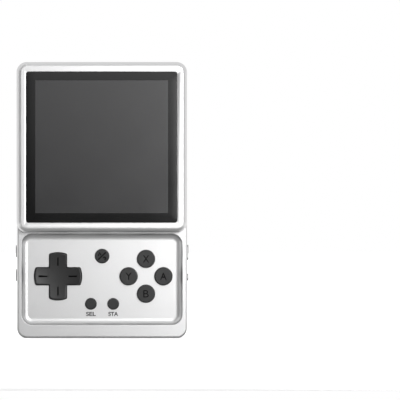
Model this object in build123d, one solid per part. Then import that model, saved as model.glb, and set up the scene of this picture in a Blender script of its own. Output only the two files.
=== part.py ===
from build123d import *
import os
from math import cos, radians, sin, sqrt

# Swivel-screen handheld game console, standing up with its screen turned open above the body.
# Millimetres. X runs to the right as seen from the front, Y from front to back, and Z up.
# The origin is under the middle of the body, on the surface it stands on, at half the whole depth.

# Body, as large and as square as the panel that closes over it
body_depth = 13.7
body_corner = 5.0
body_front_round = 1.0
face_wall = 1.6
side_wall = 1.6
smallest_corner = 0.3
pick_reach = 0.01

# Back cover: its slope runs round the edge, and its lip stops below the shoulder buttons
cover_wall = 1.5
cover_depth = 2.7
back_slope_width = 2.3
back_slope_depth = 1.5
back_slope_round = 0.7
lip_height = 1.0
lip_wall = 0.7
lip_gap = 0.1
lip_drop = 12.0

# Sunk deck in the body's face
rim_width = 2.2
rim_foot = 6.3
rim_drop = 31.5
recess_corner = 5.3
recess_slope = 3.0
recess_depth = 2.4
recess_rim_round = 0.35
recess_foot_round = 0.6
deck_wall = 1.4

# Display and the panel built round it, all square but the display itself
display_width = 65.4
display_height = 67.0
display_wall = 1.3
display_room = 0.5
display_corner = 0.6
display_gap = 0.05
lamp_tray_lip = 0.2
ledge_width = 2.3
ledge_wall = 0.8
ledge_corner = 1.0
gasket_wall = 0.2
glass_wall = 0.8
glass_corner = 1.2
glass_chamfer = 0.16
glass_sink = 0.15
glass_gap = 0.2
bezel_width = 4.7
panel_depth = 6.6
panel_corner = 5.0
panel_front_round = 2.4
panel_back_round = 0.5
panel_border = 2.5
back_plate_wall = 1.0
back_plate_corner = 2.5
back_plate_sink = 0.25
back_plate_gap = 0.1
notch_length = 9.6
notch_width = 2.0
notch_sink = 1.9
notch_corner = 0.8
notch_rib = 1.2

# Swivel, in the body's upper left corner
swivel_inset = 15.5
swivel_gap = 0.3
shaft_diameter = 9.0
shaft_bore = 6.0
shaft_flats = 8.4
shaft_groove = 7.9
shaft_tail = 0.55
shaft_flange_lip = 2.7
shaft_flange_wall = 0.7
running_gap = 0.03
turning_gap = 0.05
bush_wall = 1.47
bush_length = 3.7
bush_boss_wall = 2.5
washer_width = 3.4
washer_seat = 0.3
washer_gap = 0.1
wave_washer_gap = 0.3
wave_washer_width = 2.2
wave_washer_wall = 0.55
friction_disc_wall = 0.8
ring_width = 1.55
ring_wall = 0.5
ring_opening = 3.6
bracket_wall = 0.6
bracket_screw_count = 4
bracket_screw = 1.2
bracket_screw_head = 2.6
bracket_screw_head_wall = 0.5
bracket_screw_skin = 0.25
bracket_screw_gap = 0.3
bracket_edge = 0.4
stop_pin = 2.2
stop_pin_reach = 0.8
stop_pin_wall = 1.0
stop_slot_depth = 1.0
stop_angle = 45
ribbon_width = 4.4
ribbon_wall = 0.2
ribbon_reach = 14.0
ribbon_break = 0.3
ribbon_plug_width = 5.7
ribbon_plug_height = 2.2
ribbon_plug_depth = 0.9

# Screws, with the wells that their heads lie in
screw_thread = 1.6
screw_head = 3.4
screw_head_wall = 1.2
screw_sink = 0.15
screw_drive = 1.5
screw_drive_depth = 0.5
screw_hole = 1.9
screw_well = 4.5
thread_fit = 0.02
seat_gap = 0.05
panel_screw_inset = 5.0
panel_screw_length = 3.0
panel_boss = 6.0
plate_boss = 6.4
plate_boss_height = 0.95
shell_screw_length = 5.5
shell_boss = 4.6
cover_boss = 6.2
cover_boss_height = 1.55
upper_screw_inset = 4.85
upper_screw_drop = 16.7
lower_screw_inset = 5.95
lower_screw_z = 11.25

# Main board and what lies behind it
board_gap = 2.9
board_wall = 1.0
board_inset = 3.5
board_bottom = 4.0
board_drop = 10.0
board_corner = 1.5
board_room = 0.5
board_screw_head = 2.8
board_screw_head_wall = 0.8
board_screw_length = 3.1
board_post = 4.4
upper_board_screw_inset = 7.0
upper_board_screw_drop = 1.0
lower_board_screw_gap = 3.0
lower_board_screw_z = 7.6
battery_side_room = 9.4
battery_foot = 17.0
battery_drop = 27.0
battery_corner = 1.5
battery_gap = 0.3
speaker_width = 15.0
speaker_height = 11.0
speaker_board_gap = 1.1
speaker_corner = 1.5
speaker_cone_inset = 2.0
speaker_cone_depth = 1.0
speaker_drop = 16.0
speaker_gap = 0.1
speaker_slot_length = 11.1
speaker_slot_height = 1.9
speaker_slot_drop = 12.7
gauze_margin = 1.0
gauze_wall = 0.2
shield_depth = 2.0
shield_corner = 1.0
shield_wall = 0.2
shield_foot = 20.0
shield_screw_gap = 3.5
shield_side_gap = 2.9
shield_battery_gap = 1.5
battery_plug_gap = 0.65

# Sockets in the bottom edge
usb_width = 8.94
usb_height = 3.26
usb_length = 7.0
usb_corner = 1.3
usb_wall = 0.3
usb_tongue_width = 6.7
usb_tongue_wall = 0.7
usb_tongue_inset = 0.9
usb_sink = 0.3
usb_gap = 0.12
card_width = 13.5
card_depth = 1.5
card_length = 14.0
card_inset = 17.25
card_wall = 0.2
card_gap = 0.3
card_slot_width = 11.6
card_slot_height = 1.2
card_slot_corner = 0.4

# Direction pad, a cross on a wide foot that rocks on a small disc
cross_inset = 17.55
controls_rise = 1.4
cross_span = 22.6
cross_arm = 8.05
cross_tip_round = 1.0
cross_foot_round = 0.4
cross_stand = 1.95
cross_gap = 0.4
cross_mark_length = 4.0
cross_mark_width = 0.55
cross_mark_depth = 0.25
cross_mark_inset = 2.2
cross_flange_lip = 0.8
cross_flange_drop = 1.05
cross_flange_wall = 0.65
cross_nub = 3.0
cross_nub_length = 0.5
cross_pivot_disc = 3.2
cross_pivot_wall = 0.35
cross_pivot_lift = 0.2

# Round front buttons
face_inset = 17.6
face_spread = 8.4
face_diameter = 8.55
face_stand = 1.95
function_rise = 11.15
function_diameter = 6.8
function_stand = 1.3
menu_spread = 5.4
menu_drop = 11.9
menu_diameter = 5.4
menu_stand = 1.3
button_round = 0.45
button_gap = 0.18
button_flange_lip = 0.8
button_flange_wall = 0.8
button_flange_gap = 0.1
button_rest_gap = 0.05

# Silicone pads under the front buttons
pad_wall = 0.6
pad_margin = 0.65
dome_share = 0.6
cross_pad_margin = 0.5
cross_pad_dome_radius = 8.6
cross_pad_dome = 4.4
cross_pad_hole = 6.0
menu_pad_margin = 0.7
menu_pad_bar = 6.0

# Shoulder buttons in a pocket round the body's two upper corners
pocket_inset = 3.15
pocket_front_wall = 2.0
pocket_wall = 1.2
pocket_reach = 22.4
pocket_tail = 7.6
shoulder_bar = 2.5
shoulder_end_gap = 0.2
shoulder_depth_gap = 0.15
shoulder_back_sink = 0.7
shoulder_round = 0.6
inner_bar_length = 8.5
tail_gap = 1.5
leg_wall = 0.9
leg_length = 0.8
hinge_inset = 1.5
hinge_drop = 1.5
hinge_pin = 1.0
hinge_pin_gap = 0.05
hinge_pin_seat = 1.0
hinge_pin_tail = 0.5
hinge_ear_width = 2.0
hinge_ear_depth = 1.5
hinge_ear_lag = 0.45
hinge_ear_gap = 0.15
hinge_ear_foot = 0.6
hinge_skin = 0.5
hinge_slot_reach = 1.4
outer_stem_reach = 4.5
stem_width = 2.0
stem_length = 2.2
stem_gap = 0.4
shoulder_switch_width = 4.0
shoulder_switch_height = 2.2
shoulder_switch_depth = 2.0
shoulder_switch_drop = 1.1
shoulder_plunger = 1.0
shoulder_plunger_length = 0.4
shoulder_board_wall = 0.8
shoulder_board_height = 6.0
shoulder_board_gap = 0.1
shoulder_board_inner = 1.4
shoulder_board_outer = 4.8

# Side buttons, each with how far its middle is above the body's
side_button_lead = 0.7
side_button_width = 2.6
side_button_stand = 0.65
side_button_gap = 0.1
side_button_round = 0.35
side_flange_lip = 0.6
side_flange_wall = 0.7
side_flange_gap = 0.1
side_switch_width = 2.2
side_switch_height = 4.0
side_switch_depth = 2.4
side_plunger = 1.2
side_plunger_gap = 0.5
power_rise = 0.3
power_length = 7.4
reset_rise = -11.6
reset_length = 3.4
volume_up_rise = 0.8
volume_down_rise = -10.7
volume_length = 5.9

# Sizes that follow from the ones above
ledge_window = max(display_width, display_height) + 2 * display_room
glass_size = ledge_window + 2 * ledge_width
glass_pocket = glass_size + 2 * glass_gap
panel_size = glass_size + 2 * bezel_width
body_size = panel_size
back_plate_size = panel_size - 2 * panel_border
cavity_size = back_plate_size + 2 * back_plate_gap
shaft_flange = shaft_diameter + 2 * shaft_flange_lip
bush_bore = shaft_diameter + 2 * running_gap
bush_outer = bush_bore + 2 * bush_wall
washer_inner = bush_outer + 2 * washer_gap
washer_outer = washer_inner + 2 * washer_width
wave_washer_inner = shaft_diameter + 2 * wave_washer_gap
wave_washer_outer = wave_washer_inner + 2 * wave_washer_width
bracket_screw_radius = shaft_flange / 2 + bracket_screw_gap + bracket_screw_head / 2
bracket_diameter = 2 * bracket_screw_radius + bracket_screw_head + 2 * bracket_edge
stop_radius = washer_outer / 2 + washer_gap + stop_pin / 2 + stop_pin_wall
recess_width = body_size - 2 * rim_width
recess_height = body_size - rim_drop - rim_foot
board_width = body_size - 2 * board_inset

# Depths, from the front face back
front = -(panel_depth + swivel_gap + body_depth) / 2
panel_back = front + panel_depth
body_front = panel_back + swivel_gap
back = body_front + body_depth
glass_front = front + glass_sink
glass_back = glass_front + glass_wall
ledge_front = glass_back + gasket_wall
ledge_back = ledge_front + ledge_wall
display_front = glass_back + display_gap
display_back = display_front + display_wall
plate_back = panel_back - back_plate_sink
plate_front = plate_back - back_plate_wall
plate_boss_front = plate_front - plate_boss_height
panel_boss_back = plate_boss_front - seat_gap
panel_screw_seat = plate_back - screw_sink - screw_head_wall
bracket_front = plate_front - bracket_wall
flange_front = bracket_front - shaft_flange_wall
lamp_tray_front = display_back + display_gap
lamp_tray_back = flange_front - ribbon_wall - 2 * display_gap
face_inner = body_front + face_wall
deck_face = body_front + recess_depth
deck_back = deck_face + deck_wall
board_front = deck_back + board_gap
board_back = board_front + board_wall
split = back - cover_depth
cover_inner = back - cover_wall
cover_boss_front = cover_inner - cover_boss_height
shell_boss_back = cover_boss_front - seat_gap
shell_screw_seat = back - screw_sink - screw_head_wall
button_flange_front = deck_back + button_flange_gap
button_flange_back = button_flange_front + button_flange_wall
pad_front = board_front - pad_wall
cross_flange_front = deck_back + cross_flange_drop
cross_flange_back = cross_flange_front + cross_flange_wall
washer_front = plate_back + turning_gap
washer_back = body_front + washer_seat
bush_back = washer_back + bush_length
wave_washer_back = bush_back + wave_washer_wall
friction_front = wave_washer_back + turning_gap
friction_back = friction_front + friction_disc_wall
ring_front = friction_back + turning_gap
ring_back = ring_front + ring_wall
shaft_end = ring_back + shaft_tail
ribbon_middle = (washer_back + bush_back) / 2
pocket_front = body_front + pocket_front_wall
shoulder_front = pocket_front + shoulder_depth_gap
shoulder_back = back - shoulder_back_sink
hinge_ear_y = board_back + hinge_ear_lag
hinge_pin_front = pocket_front - hinge_pin_seat
hinge_pin_back = hinge_ear_y + hinge_ear_depth / 2 + hinge_pin_tail
shoulder_board_front = board_back + shoulder_switch_depth
shoulder_board_back = shoulder_board_front + shoulder_board_wall
stem_y = shoulder_board_front - shoulder_switch_depth / 2
side_button_y = board_front - side_button_lead
usb_y = board_back + usb_height / 2 - usb_sink
card_y = board_back + card_depth / 2

# Places seen from the front
half_body = body_size / 2
inner_side = half_body - side_wall
screen_lift = 2 * (half_body - swivel_inset)
pivot_x = -screen_lift / 2
pivot_z = half_body + screen_lift / 2
panel_z = half_body + screen_lift
stop_x = pivot_x + stop_radius * cos(radians(stop_angle))
stop_z = pivot_z + stop_radius * sin(radians(stop_angle))
recess_top = body_size - rim_drop
recess_z = recess_top - recess_height / 2
cross_x = cross_inset - recess_width / 2
face_x = recess_width / 2 - face_inset
controls_z = recess_z + controls_rise
function_z = recess_z + function_rise
menu_z = recess_z - menu_drop
speaker_z = body_size - speaker_drop
speaker_slot_z = body_size - speaker_slot_drop
card_x = half_body - card_inset
lower_board_screw_x = card_x - card_width / 2 - lower_board_screw_gap
upper_board_screw_x = half_body - upper_board_screw_inset
upper_board_screw_z = recess_top - upper_board_screw_drop
battery_left = pivot_x + ribbon_plug_width / 2 + battery_plug_gap
battery_right = inner_side - battery_side_room
battery_top = body_size - battery_drop
shield_left = shield_side_gap - inner_side
shield_right = battery_left - shield_battery_gap
shield_top = upper_board_screw_z - shield_screw_gap
board_top = body_size - board_drop
lip_top = body_size - lip_drop
shelf_top = body_size - pocket_inset
shelf_bottom = shelf_top - pocket_wall
pocket_from = half_body - pocket_reach
pocket_tail_z = body_size - pocket_tail
inner_bar_from = pocket_from + shoulder_end_gap
inner_bar_to = inner_bar_from + inner_bar_length
outer_bar_from = inner_bar_to + shoulder_end_gap
outer_tail_z = pocket_tail_z + tail_gap
hinge_x = outer_bar_from + hinge_inset
hinge_z = body_size - hinge_drop
inner_stem_x = (inner_bar_from + inner_bar_to) / 2
outer_stem_x = hinge_x + outer_stem_reach

panel_screw_reach = panel_size / 2 - panel_screw_inset
panel_screws = [
    (side * panel_screw_reach, panel_z + end * panel_screw_reach)
    for side in (-1, 1)
    for end in (-1, 1)
]
upper_screw_x = half_body - upper_screw_inset
lower_screw_x = half_body - lower_screw_inset
upper_screw_z = body_size - upper_screw_drop
upper_shell_screws = [(side * upper_screw_x, upper_screw_z) for side in (-1, 1)]
lower_shell_screws = [(side * lower_screw_x, lower_screw_z) for side in (-1, 1)]
shell_screws = upper_shell_screws + lower_shell_screws
upper_board_screws = [(side * upper_board_screw_x, upper_board_screw_z) for side in (-1, 1)]
lower_board_screws = [(side * lower_board_screw_x, lower_board_screw_z) for side in (-1, 1)]
board_screws = upper_board_screws + lower_board_screws
bracket_turns = [radians(360 * turn / bracket_screw_count) for turn in range(bracket_screw_count)]
bracket_screws = [
    (pivot_x + bracket_screw_radius * cos(turn), pivot_z + bracket_screw_radius * sin(turn))
    for turn in bracket_turns
]
face_buttons = {
    "button_a": (face_x + face_spread, controls_z),
    "button_b": (face_x, controls_z - face_spread),
    "button_x": (face_x, controls_z + face_spread),
    "button_y": (face_x - face_spread, controls_z),
}
menu_buttons = {
    "select_button": (-menu_spread, menu_z),
    "start_button": (menu_spread, menu_z),
}
round_buttons = {"function_button": (0, function_z, function_diameter, function_stand)}
for name, (x, z) in face_buttons.items():
    round_buttons[name] = (x, z, face_diameter, face_stand)
for name, (x, z) in menu_buttons.items():
    round_buttons[name] = (x, z, menu_diameter, menu_stand)
side_buttons = {
    "power_button": (1, half_body + power_rise, power_length),
    "reset_button": (1, half_body + reset_rise, reset_length),
    "volume_up_button": (-1, half_body + volume_up_rise, volume_length),
    "volume_down_button": (-1, half_body + volume_down_rise, volume_length),
}


def slab(outline, near, far):
    """An outline drawn as seen from the front, made solid from one depth to another."""
    return extrude(Plane.XZ.offset(-far) * outline, far - near)


def disc(x, z, diameter, near, far):
    return slab(Pos(x, z) * Circle(diameter / 2), near, far)


def ring(x, z, outer, inner, near, far):
    return slab(Pos(x, z) * (Circle(outer / 2) - Circle(inner / 2)), near, far)


def block(x, z, width, height, near, far):
    return slab(Pos(x, z) * Rectangle(width, height), near, far)


def plate(x, z, width, height, corner, near, far):
    return slab(Pos(x, z) * RectangleRounded(width, height, corner), near, far)


def sloped(x, z, width, height, corner, slope, near, far):
    """A rounded plate whose four sides lean in by slope from its near face to its far face."""
    wide = Pos(x, z) * RectangleRounded(width, height, corner)
    narrow = Pos(x, z) * RectangleRounded(width - 2 * slope, height - 2 * slope, corner - slope)
    return loft([Plane.XZ.offset(-near) * wide, Plane.XZ.offset(-far) * narrow], ruled=True)


def standing(outline, low, high):
    """An outline drawn as seen from above, made solid from one height to another."""
    return extrude(Plane.XY.offset(low) * outline, high - low)


def sideways(outline, left, right):
    """An outline drawn in Y and Z, made solid along X."""
    return extrude(Plane.YZ.offset(left) * outline, right - left)


def edges_at(solid, place, axis=Axis.Y):
    return solid.edges().filter_by_position(axis, place - pick_reach, place + pick_reach)


def on_side(solid, side):
    return solid if side > 0 else mirror(solid, about=Plane.YZ)


def both_sides(outline):
    return outline + mirror(outline, about=Plane.YZ)


def screw(x, z, length, seat, head_wall, head, thread):
    """A pan-head screw put in from behind, with a six-sided drive."""
    top = seat + head_wall
    solid = disc(x, z, head, seat, top) + disc(x, z, thread, seat - length, seat)
    drive = Pos(x, z) * RegularPolygon(screw_drive / 2, 6)
    return solid - slab(drive, top - screw_drive_depth, top)


def body_square(inset):
    """The body's outline, drawn in by inset."""
    size = body_size - 2 * inset
    return Pos(0, half_body) * RectangleRounded(size, size, max(body_corner - inset, smallest_corner))


def corner_band(inset, from_x, from_z):
    """The strip of that width round the body's upper right corner, right of from_x and above from_z."""
    zone = Pos(from_x, from_z) * Rectangle(body_size, body_size, align=(Align.MIN, Align.MIN))
    return (body_square(0) - body_square(inset)) & zone


def shoulder_pocket():
    return both_sides(corner_band(pocket_inset, pocket_from, pocket_tail_z))


def body_inside():
    """The room between the body's walls, less the shelves under the shoulder buttons."""
    shelf = corner_band(pocket_inset + pocket_wall, pocket_from - pocket_wall, pocket_tail_z - pocket_wall)
    return body_square(side_wall) - both_sides(shelf)


def cross_outline(grow):
    """The direction pad's cross with its rounded tips, grown all round."""
    span = cross_span + 2 * grow
    arm = cross_arm + 2 * grow
    cross = (Rectangle(span, arm) + Rectangle(arm, span)) & Circle(span / 2)
    tips = [corner for corner in cross.vertices() if Vector(*corner).length > span / 3]
    cross = fillet(tips, cross_tip_round)
    feet = [corner for corner in cross.vertices() if Vector(*corner).length < span / 3]
    return Pos(cross_x, controls_z) * fillet(feet, cross_foot_round)


def side_pill(z, length, width, left, right):
    return sideways(Pos(side_button_y, z) * (Rot(0, 0, 90) * SlotOverall(length, width)), left, right)


# Screen panel


def screen_frame():
    frame = plate(0, panel_z, panel_size, panel_size, panel_corner, front, panel_back)
    frame = fillet(edges_at(frame, front), panel_front_round)
    frame = fillet(edges_at(frame, panel_back), panel_back_round)
    frame -= plate(0, panel_z, glass_pocket, glass_pocket, glass_corner + glass_gap, front, ledge_front)
    frame -= plate(0, panel_z, ledge_window, ledge_window, ledge_corner, front, ledge_back)
    cavity_corner = back_plate_corner + back_plate_gap
    frame -= plate(0, panel_z, cavity_size, cavity_size, cavity_corner, ledge_back, panel_back)
    for x, z in panel_screws:
        frame += disc(x, z, panel_boss, ledge_back, panel_boss_back)
    screw_tip = panel_screw_seat - panel_screw_length
    for x, z in panel_screws:
        frame -= disc(x, z, screw_thread + 2 * thread_fit, screw_tip - seat_gap, panel_boss_back)
    rib_x = cavity_size / 2 - notch_rib / 2
    rib_length = notch_length + 2 * notch_rib
    frame += block(rib_x, panel_z, notch_rib, rib_length, ledge_back, plate_front - seat_gap)
    notch = Pos(panel_size / 2, panel_z) * RectangleRounded(2 * notch_width, notch_length, notch_corner)
    return frame - slab(notch, panel_back - notch_sink, panel_back)


def screen_back_plate():
    outline = Pos(0, panel_z) * RectangleRounded(back_plate_size, back_plate_size, back_plate_corner)
    cover = slab(outline, plate_front, plate_back)
    for x, z in panel_screws:
        boss = outline & (Pos(x, z) * Circle(plate_boss / 2))
        cover += slab(boss, plate_boss_front, plate_front)
    for x, z in panel_screws:
        cover -= disc(x, z, screw_hole, plate_boss_front, plate_back)
        cover -= disc(x, z, screw_well, panel_screw_seat, plate_back)
    cover -= disc(pivot_x, pivot_z, shaft_diameter + 2 * wave_washer_gap, plate_front, plate_back)
    cover -= disc(stop_x, stop_z, stop_pin + 2 * thread_fit, plate_front, plate_back)
    hole_end = plate_back - bracket_screw_skin + seat_gap
    for x, z in bracket_screws:
        cover -= disc(x, z, bracket_screw + 2 * thread_fit, plate_front, hole_end)
    return cover


def cover_glass():
    glass = plate(0, panel_z, glass_size, glass_size, glass_corner, glass_front, glass_back)
    return chamfer(edges_at(glass, glass_front), glass_chamfer)


def glass_gasket():
    outer = glass_size - 2 * glass_gap
    inner = ledge_window + 2 * glass_gap
    band = RectangleRounded(outer, outer, glass_corner) - RectangleRounded(inner, inner, ledge_corner)
    return slab(Pos(0, panel_z) * band, glass_back, ledge_front)


def display_module():
    return plate(0, panel_z, display_width, display_height, display_corner, display_front, display_back)


def backlight_tray():
    width = display_width + 2 * lamp_tray_lip
    height = display_height + 2 * lamp_tray_lip
    return plate(0, panel_z, width, height, display_corner, lamp_tray_front, lamp_tray_back)


def screen_screws():
    size = (panel_screw_length, panel_screw_seat, screw_head_wall, screw_head, screw_thread)
    return Part() + [screw(x, z, *size) for x, z in panel_screws]


# Swivel between the panel and the body


def swivel_shaft():
    shaft = disc(pivot_x, pivot_z, shaft_flange, flange_front, bracket_front)
    shaft += disc(pivot_x, pivot_z, shaft_diameter, flange_front, shaft_end)
    shaft -= disc(pivot_x, pivot_z, shaft_bore, flange_front, shaft_end)
    beyond = shaft_diameter - shaft_flats
    for side in (-1, 1):
        flat_z = pivot_z + side * (shaft_flats + beyond) / 2
        shaft -= block(pivot_x, flat_z, shaft_diameter, beyond, friction_front, shaft_end)
    return shaft - ring(pivot_x, pivot_z, 2 * shaft_diameter, shaft_groove, ring_front, ring_back)


def swivel_bracket():
    lug_width = stop_pin + 2 * stop_pin_wall
    lug = Pos(stop_radius / 2, 0) * Rectangle(stop_radius, lug_width)
    lug += Pos(stop_radius, 0) * Circle(lug_width / 2)
    outline = Circle(bracket_diameter / 2) + Rot(0, 0, stop_angle) * lug
    bracket = slab(Pos(pivot_x, pivot_z) * outline, bracket_front, plate_front)
    bracket -= disc(pivot_x, pivot_z, shaft_diameter + 2 * thread_fit, bracket_front, plate_front)
    bracket -= disc(stop_x, stop_z, stop_pin + 2 * thread_fit, bracket_front, plate_front)
    for x, z in bracket_screws:
        bracket -= disc(x, z, bracket_screw + 2 * thread_fit, bracket_front, plate_front)
    return bracket


def bracket_screw_set():
    tip = plate_back - bracket_screw_skin
    head_front = bracket_front - bracket_screw_head_wall
    screws = Part()
    for x, z in bracket_screws:
        screws += disc(x, z, bracket_screw_head, head_front, bracket_front)
        screws += disc(x, z, bracket_screw, bracket_front, tip)
    return screws


def stop_pin_solid():
    return disc(stop_x, stop_z, stop_pin, bracket_front, body_front + stop_pin_reach)


def thrust_washer():
    return ring(pivot_x, pivot_z, washer_outer, washer_inner, washer_front, washer_back)


def swivel_bush():
    return ring(pivot_x, pivot_z, bush_outer, bush_bore, washer_back, bush_back)


def wave_washer():
    return ring(pivot_x, pivot_z, wave_washer_outer, wave_washer_inner, bush_back, wave_washer_back)


def friction_disc():
    keyhole = Circle(shaft_diameter / 2 + thread_fit)
    keyhole &= Rectangle(2 * shaft_diameter, shaft_flats + 2 * thread_fit)
    outline = Circle(wave_washer_outer / 2) - keyhole
    return slab(Pos(pivot_x, pivot_z) * outline, friction_front, friction_back)


def retaining_ring():
    outer = shaft_groove + 2 * ring_width
    outline = Circle(outer / 2) - Circle(shaft_groove / 2 + thread_fit)
    outline -= Pos(0, outer / 2) * Rectangle(ring_opening, outer)
    return slab(Pos(pivot_x, pivot_z) * outline, ring_front, ring_back)


def display_ribbon():
    """The half that turns with the screen: a leaf behind the backlight and a strip into the shaft."""
    start = lamp_tray_back + display_gap
    end = start + ribbon_wall
    leaf = block(pivot_x, pivot_z + ribbon_reach / 2, ribbon_width, ribbon_reach, start, end)
    strip_end = ribbon_middle - ribbon_break / 2
    return leaf + block(pivot_x, pivot_z, ribbon_width, ribbon_wall, start, strip_end)


def board_ribbon():
    """The half that stays: a strip out of the shaft and a leaf down to its plug on the board."""
    start = board_back + display_gap
    end = start + ribbon_wall
    plug_z = pivot_z - ribbon_reach
    leaf = block(pivot_x, pivot_z - ribbon_reach / 2, ribbon_width, ribbon_reach, start, end)
    leaf += block(pivot_x, pivot_z, ribbon_width, ribbon_wall, ribbon_middle + ribbon_break / 2, end)
    plug_end = board_back + ribbon_plug_depth
    return leaf + block(pivot_x, plug_z, ribbon_plug_width, ribbon_plug_height, board_back, plug_end)


# Body shells


def front_shell():
    shell = slab(body_square(0), body_front, split)
    shell = fillet(edges_at(shell, body_front), body_front_round)
    shell = sink_deck(shell)
    inside = body_inside()
    above_deck = Rectangle(body_size, body_size, align=(Align.CENTER, Align.MIN))
    above_deck = Pos(0, recess_top + deck_wall) * above_deck
    shell -= slab(inside, deck_back, split)
    shell -= slab(inside & above_deck, face_inner, deck_back)
    shell -= slab(shoulder_pocket(), pocket_front, split)
    shell = seat_swivel(shell)
    shell = add_posts(shell)
    for x, z, diameter, stand in round_buttons.values():
        shell -= disc(x, z, diameter + 2 * button_gap, deck_face, deck_back)
    shell -= slab(cross_outline(cross_gap), deck_face, deck_back)
    width = side_button_width + 2 * side_button_gap
    for side, z, length in side_buttons.values():
        cutter = side_pill(z, length + 2 * side_button_gap, width, inner_side, body_size)
        shell -= on_side(cutter, side)
    for mouth in socket_mouths():
        shell -= mouth
    for side in (-1, 1):
        shell += hinge_ear(side)
        for stem_x in (inner_stem_x, outer_stem_x):
            shell -= stem_hole(side * stem_x)
        pin_hole = hinge_pin + 2 * thread_fit
        shell -= disc(side * hinge_x, hinge_z, pin_hole, hinge_pin_front, pocket_front)
    return shell


def sink_deck(shell):
    size = (recess_width, recess_height, recess_corner, recess_slope)
    shell -= sloped(0, recess_z, *size, body_front, deck_face)
    shell = fillet(edges_at(shell, deck_face), recess_foot_round)
    rim = [
        edge
        for edge in edges_at(shell, body_front)
        if abs(edge.center().X) < recess_width / 2 + seat_gap
        and abs(edge.center().Z - recess_z) < recess_height / 2 + seat_gap
    ]
    return fillet(rim, recess_rim_round)


def seat_swivel(shell):
    """The boss that holds the bush, the washer's seat and the stop pin's slot."""
    shell += disc(pivot_x, pivot_z, bush_outer + 2 * bush_boss_wall, face_inner, bush_back)
    shell -= disc(pivot_x, pivot_z, bush_outer + 2 * thread_fit, body_front, bush_back)
    shell -= disc(pivot_x, pivot_z, washer_outer + 2 * washer_gap, body_front, washer_back)
    return shell - slab(stop_slot(), body_front, body_front + stop_slot_depth)


def stop_slot():
    """A quarter ring that the stop pin runs in, from the open stop down to the closed one."""
    reach = stop_pin / 2 + turning_gap
    square = Rectangle(2 * stop_radius, 2 * stop_radius, align=(Align.MIN, Align.MIN))
    band = Circle(stop_radius + reach) - Circle(stop_radius - reach)
    slot = band & (Rot(0, 0, stop_angle - 90) * square)
    for turn in (stop_angle - 90, stop_angle):
        slot += Rot(0, 0, turn) * (Pos(stop_radius, 0) * Circle(reach))
    return Pos(pivot_x, pivot_z) * slot


def add_posts(shell):
    pilot = screw_thread + 2 * thread_fit
    for x, z in upper_shell_screws:
        shell += disc(x, z, shell_boss, face_inner, shell_boss_back)
    for x, z in lower_shell_screws:
        shell += disc(x, z, shell_boss, deck_back, shell_boss_back)
    for x, z in shell_screws:
        shell -= disc(x, z, pilot, shell_screw_seat - shell_screw_length - seat_gap, shell_boss_back)
    for x, z in board_screws:
        shell += ring(x, z, board_post, pilot, deck_back, board_front)
    return shell


def socket_mouths():
    """Where the two sockets come through the shells' lower edges."""
    usb = RectangleRounded(usb_width + 2 * usb_gap, usb_height + 2 * usb_gap, usb_corner)
    card = RectangleRounded(card_slot_width, card_slot_height, card_slot_corner)
    return [
        standing(Pos(0, usb_y) * usb, 0, usb_sink + usb_length),
        standing(Pos(card_x, card_y) * card, 0, side_wall),
    ]


def hinge_ear(side):
    low = shelf_top - hinge_ear_foot
    top = body_size - hinge_skin - 2 * hinge_ear_gap
    near = hinge_ear_y - hinge_ear_depth / 2
    far = hinge_ear_y + hinge_ear_depth / 2
    ear = block(side * hinge_x, (low + top) / 2, hinge_ear_width, top - low, near, far)
    return ear - disc(side * hinge_x, hinge_z, hinge_pin + 2 * thread_fit, near, far)


def stem_hole(x):
    size = stem_width + 2 * stem_gap
    return standing(Pos(x, stem_y) * Rectangle(size, size), shelf_bottom, shelf_top)


def back_cover():
    slope_front = back - back_slope_depth
    cover = slab(body_square(0), split, slope_front)
    cover += sloped(0, half_body, body_size, body_size, body_corner, back_slope_width, slope_front, back)
    cover = fillet(edges_at(cover, slope_front), back_slope_round)
    cover = fillet(edges_at(cover, back), back_slope_round)
    cover -= slab(body_inside(), split, cover_inner)
    cover -= slab(shoulder_pocket(), split, back)
    cover += cover_lip()
    for x, z in shell_screws:
        cover += disc(x, z, cover_boss, cover_boss_front, cover_inner)
    for x, z in shell_screws:
        cover -= disc(x, z, screw_hole, cover_boss_front, back)
        cover -= disc(x, z, screw_well, shell_screw_seat, back)
    slot = SlotOverall(speaker_slot_length, speaker_slot_height)
    cover -= slab(Pos(0, speaker_slot_z) * slot, cover_inner, back)
    gauze_length = speaker_slot_length + 2 * gauze_margin + 2 * turning_gap
    gauze_height = speaker_slot_height + 2 * gauze_margin + 2 * turning_gap
    gauze_back = cover_inner + gauze_wall + turning_gap
    cover -= block(0, speaker_slot_z, gauze_length, gauze_height, cover_inner, gauze_back)
    for mouth in socket_mouths():
        cover -= mouth
    return cover


def cover_lip():
    """The step that fits inside the front shell's walls, open over the USB socket."""
    below = Rectangle(body_size, lip_top, align=(Align.CENTER, Align.MIN))
    inner = body_square(side_wall + lip_gap + lip_wall)
    seat = (body_square(side_wall) - inner) & below
    step = (body_square(side_wall + lip_gap) - inner) & below
    over_socket = Pos(0, side_wall) * Rectangle(usb_width + 4 * lip_wall, 4 * lip_wall)
    return slab(seat, split, cover_inner) + slab(step - over_socket, split - lip_height, split)


def shell_screw_set():
    size = (shell_screw_length, shell_screw_seat, screw_head_wall, screw_head, screw_thread)
    return Part() + [screw(x, z, *size) for x, z in shell_screws]


# Boards and what is on them


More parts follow.
